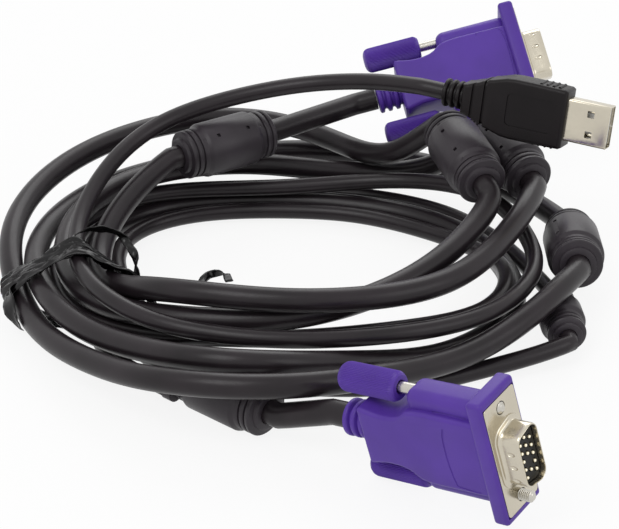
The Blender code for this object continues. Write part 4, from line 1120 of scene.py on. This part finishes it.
def outlineAt(station, clear, count):
    # the tight outline round the leads at one place along the tie's width
    outward, along = [np.array(way) for way in tieDirections()]
    middle = np.array([*coilCentre, 0]) + np.array(shift) + along * tieLook["aside"]
    points = set()
    for lead in leads:
        line = lead["fine"] - middle
        near = (np.abs(line @ along - station) < tieLook["slice"]) & (line @ outward > 0)
        for place in line[near]:
            for turn in np.linspace(0, 2 * math.pi, 20, endpoint=False):
                radius = lead["diameter"] / 2 + clear
                points.add((round(float(place @ outward + radius * math.cos(turn)), 7),
                            round(float(place[2] + radius * math.sin(turn)), 7)))
    outline = []
    for row in (sorted(points), sorted(points, reverse=True)):
        side = []
        for point in row:
            while len(side) > 1 and turnsRight(side[-2], side[-1], point):
                side.pop()
            side.append(point)
        outline += side[:-1]
    corners = np.array(outline + outline[:1])
    lengths = np.concatenate([[0], np.cumsum(np.linalg.norm(np.diff(corners, axis=0), axis=1))])
    steps = np.linspace(0, lengths[-1], count, endpoint=False)
    return np.stack([np.interp(steps, lengths, corners[:, 0]), np.interp(steps, lengths, corners[:, 1])], 1)


def crease(place, strength):
    # sharp folds: ridges of noise at two sizes
    wide = 1 - abs(noise.noise(place / (4.5 * mm))) * 2.2
    fine = 1 - abs(noise.noise(place / (1.9 * mm) + Vector((7, 3, 1)))) * 2.2
    return strength * (0.7 * wide + 0.35 * fine)


def makeBand():
    outward, along = tieDirections()
    middle = Vector((*coilCentre, 0)) + shift + along * tieLook["aside"]
    count = tieLook["columns"]
    half = tieLook["width"] / 2
    bm = bmesh.new()
    rows = []
    for row in range(tieLook["rows"]):
        station = -half + tieLook["width"] * row / (tieLook["rows"] - 1)
        loop = outlineAt(station, tie["clear"], count)
        centre = loop.mean(axis=0)
        # start each outline at the same side, so the rows join straight
        turns = np.arctan2(loop[:, 1] - centre[1], loop[:, 0] - centre[0])
        loop = np.roll(loop, -int(np.argmin(np.abs(turns))), axis=0)
        verts = []
        for reach, height in loop:
            base = middle + outward * float(reach) + Vector((0, 0, float(height))) - Vector((0, 0, shift[2]))
            away = outward * float(reach - centre[0]) + Vector((0, 0, float(height - centre[1])))
            away.normalize()
            lean = noise.noise(base / (11 * mm) + Vector((1, 5, 9))) * tieLook["lean"]
            lift = tieLook["puff"] + crease(base * 0.35 + along * station * 1.7, tieLook["crease"])
            place = base + along * (station * 0.9 + lean) + away * max(lift, 0.1 * mm)
            place.z = max(place.z, 0.12 * mm)
            verts.append(bm.verts.new(place))
        rows.append(verts)
    for first, second in zip(rows, rows[1:]):
        for index in range(count):
            after = (index + 1) % count
            bm.faces.new((first[index], first[after], second[after], second[index]))
    return meshOf(bm, "band")


def strand(points, width, twist, seed):
    # a loose crumpled strip of the film along a route
    route, held = smoothRoute([(Vector(point) * mm + shift, False) for point in points], 1 * mm)
    bm = bmesh.new()
    lines = []
    last = len(route) - 1
    for index, place in enumerate(route):
        ahead = Vector(route[min(index + 1, last)]) - Vector(route[max(index - 1, 0)])
        ahead.normalize()
        side = ahead.cross(Vector((0, 0, 1))).normalized()
        turn = twist * index / last + noise.noise(Vector((index * 0.15, seed, 0))) * 1.5
        across = side * math.cos(turn) + ahead.cross(side) * math.sin(turn)
        line = []
        for step in range(7):
            share = step / 6 - 0.5
            spot = Vector(place) + across * width * mm * share
            fold = crease(spot + Vector((seed, 0, 0)) * mm, tieLook["fold"])
            line.append(bm.verts.new(spot + across.cross(ahead) * fold))
        lines.append(line)
    for first, second in zip(lines, lines[1:]):
        for step in range(6):
            bm.faces.new((first[step], first[step + 1], second[step + 1], second[step]))
    return meshOf(bm, "strand")


def makeTie():
    parts = bmesh.new()
    parts.from_mesh(makeBand())
    for points, width, twist, seed in looseEnds:
        parts.from_mesh(strand(points, width, twist, seed))
    band = meshOf(parts, "tie")
    piece = addPiece("tie_film", band, "tieFilm", "cable", ["tie_band"], None, 50)
    thick = piece.modifiers.new("film", "SOLIDIFY")
    thick.thickness = tie["film"]
    thick.offset = 0


makeTie()
print("tie made")

# Lists of the pieces that sit on each lead
farPieces = ["far_hood_moulding", "far_shell_pressing", "far_insulator", "far_contacts"]
farPieces += [f"far_{side}_{part}" for side in ("upper", "lower")
              for part in ("screw_turned", "knob_moulding")]
flatPieces = ["usb_overmould_body", "usb_shell_folded", "usb_tongue_block", "usb_contacts"]
onLead = {"vga": farPieces, "usb": flatPieces}
for name, (middle, direction, lead) in chokePlaces.items():
    onLead[lead] += [name + "_moulding", name + "_core"]
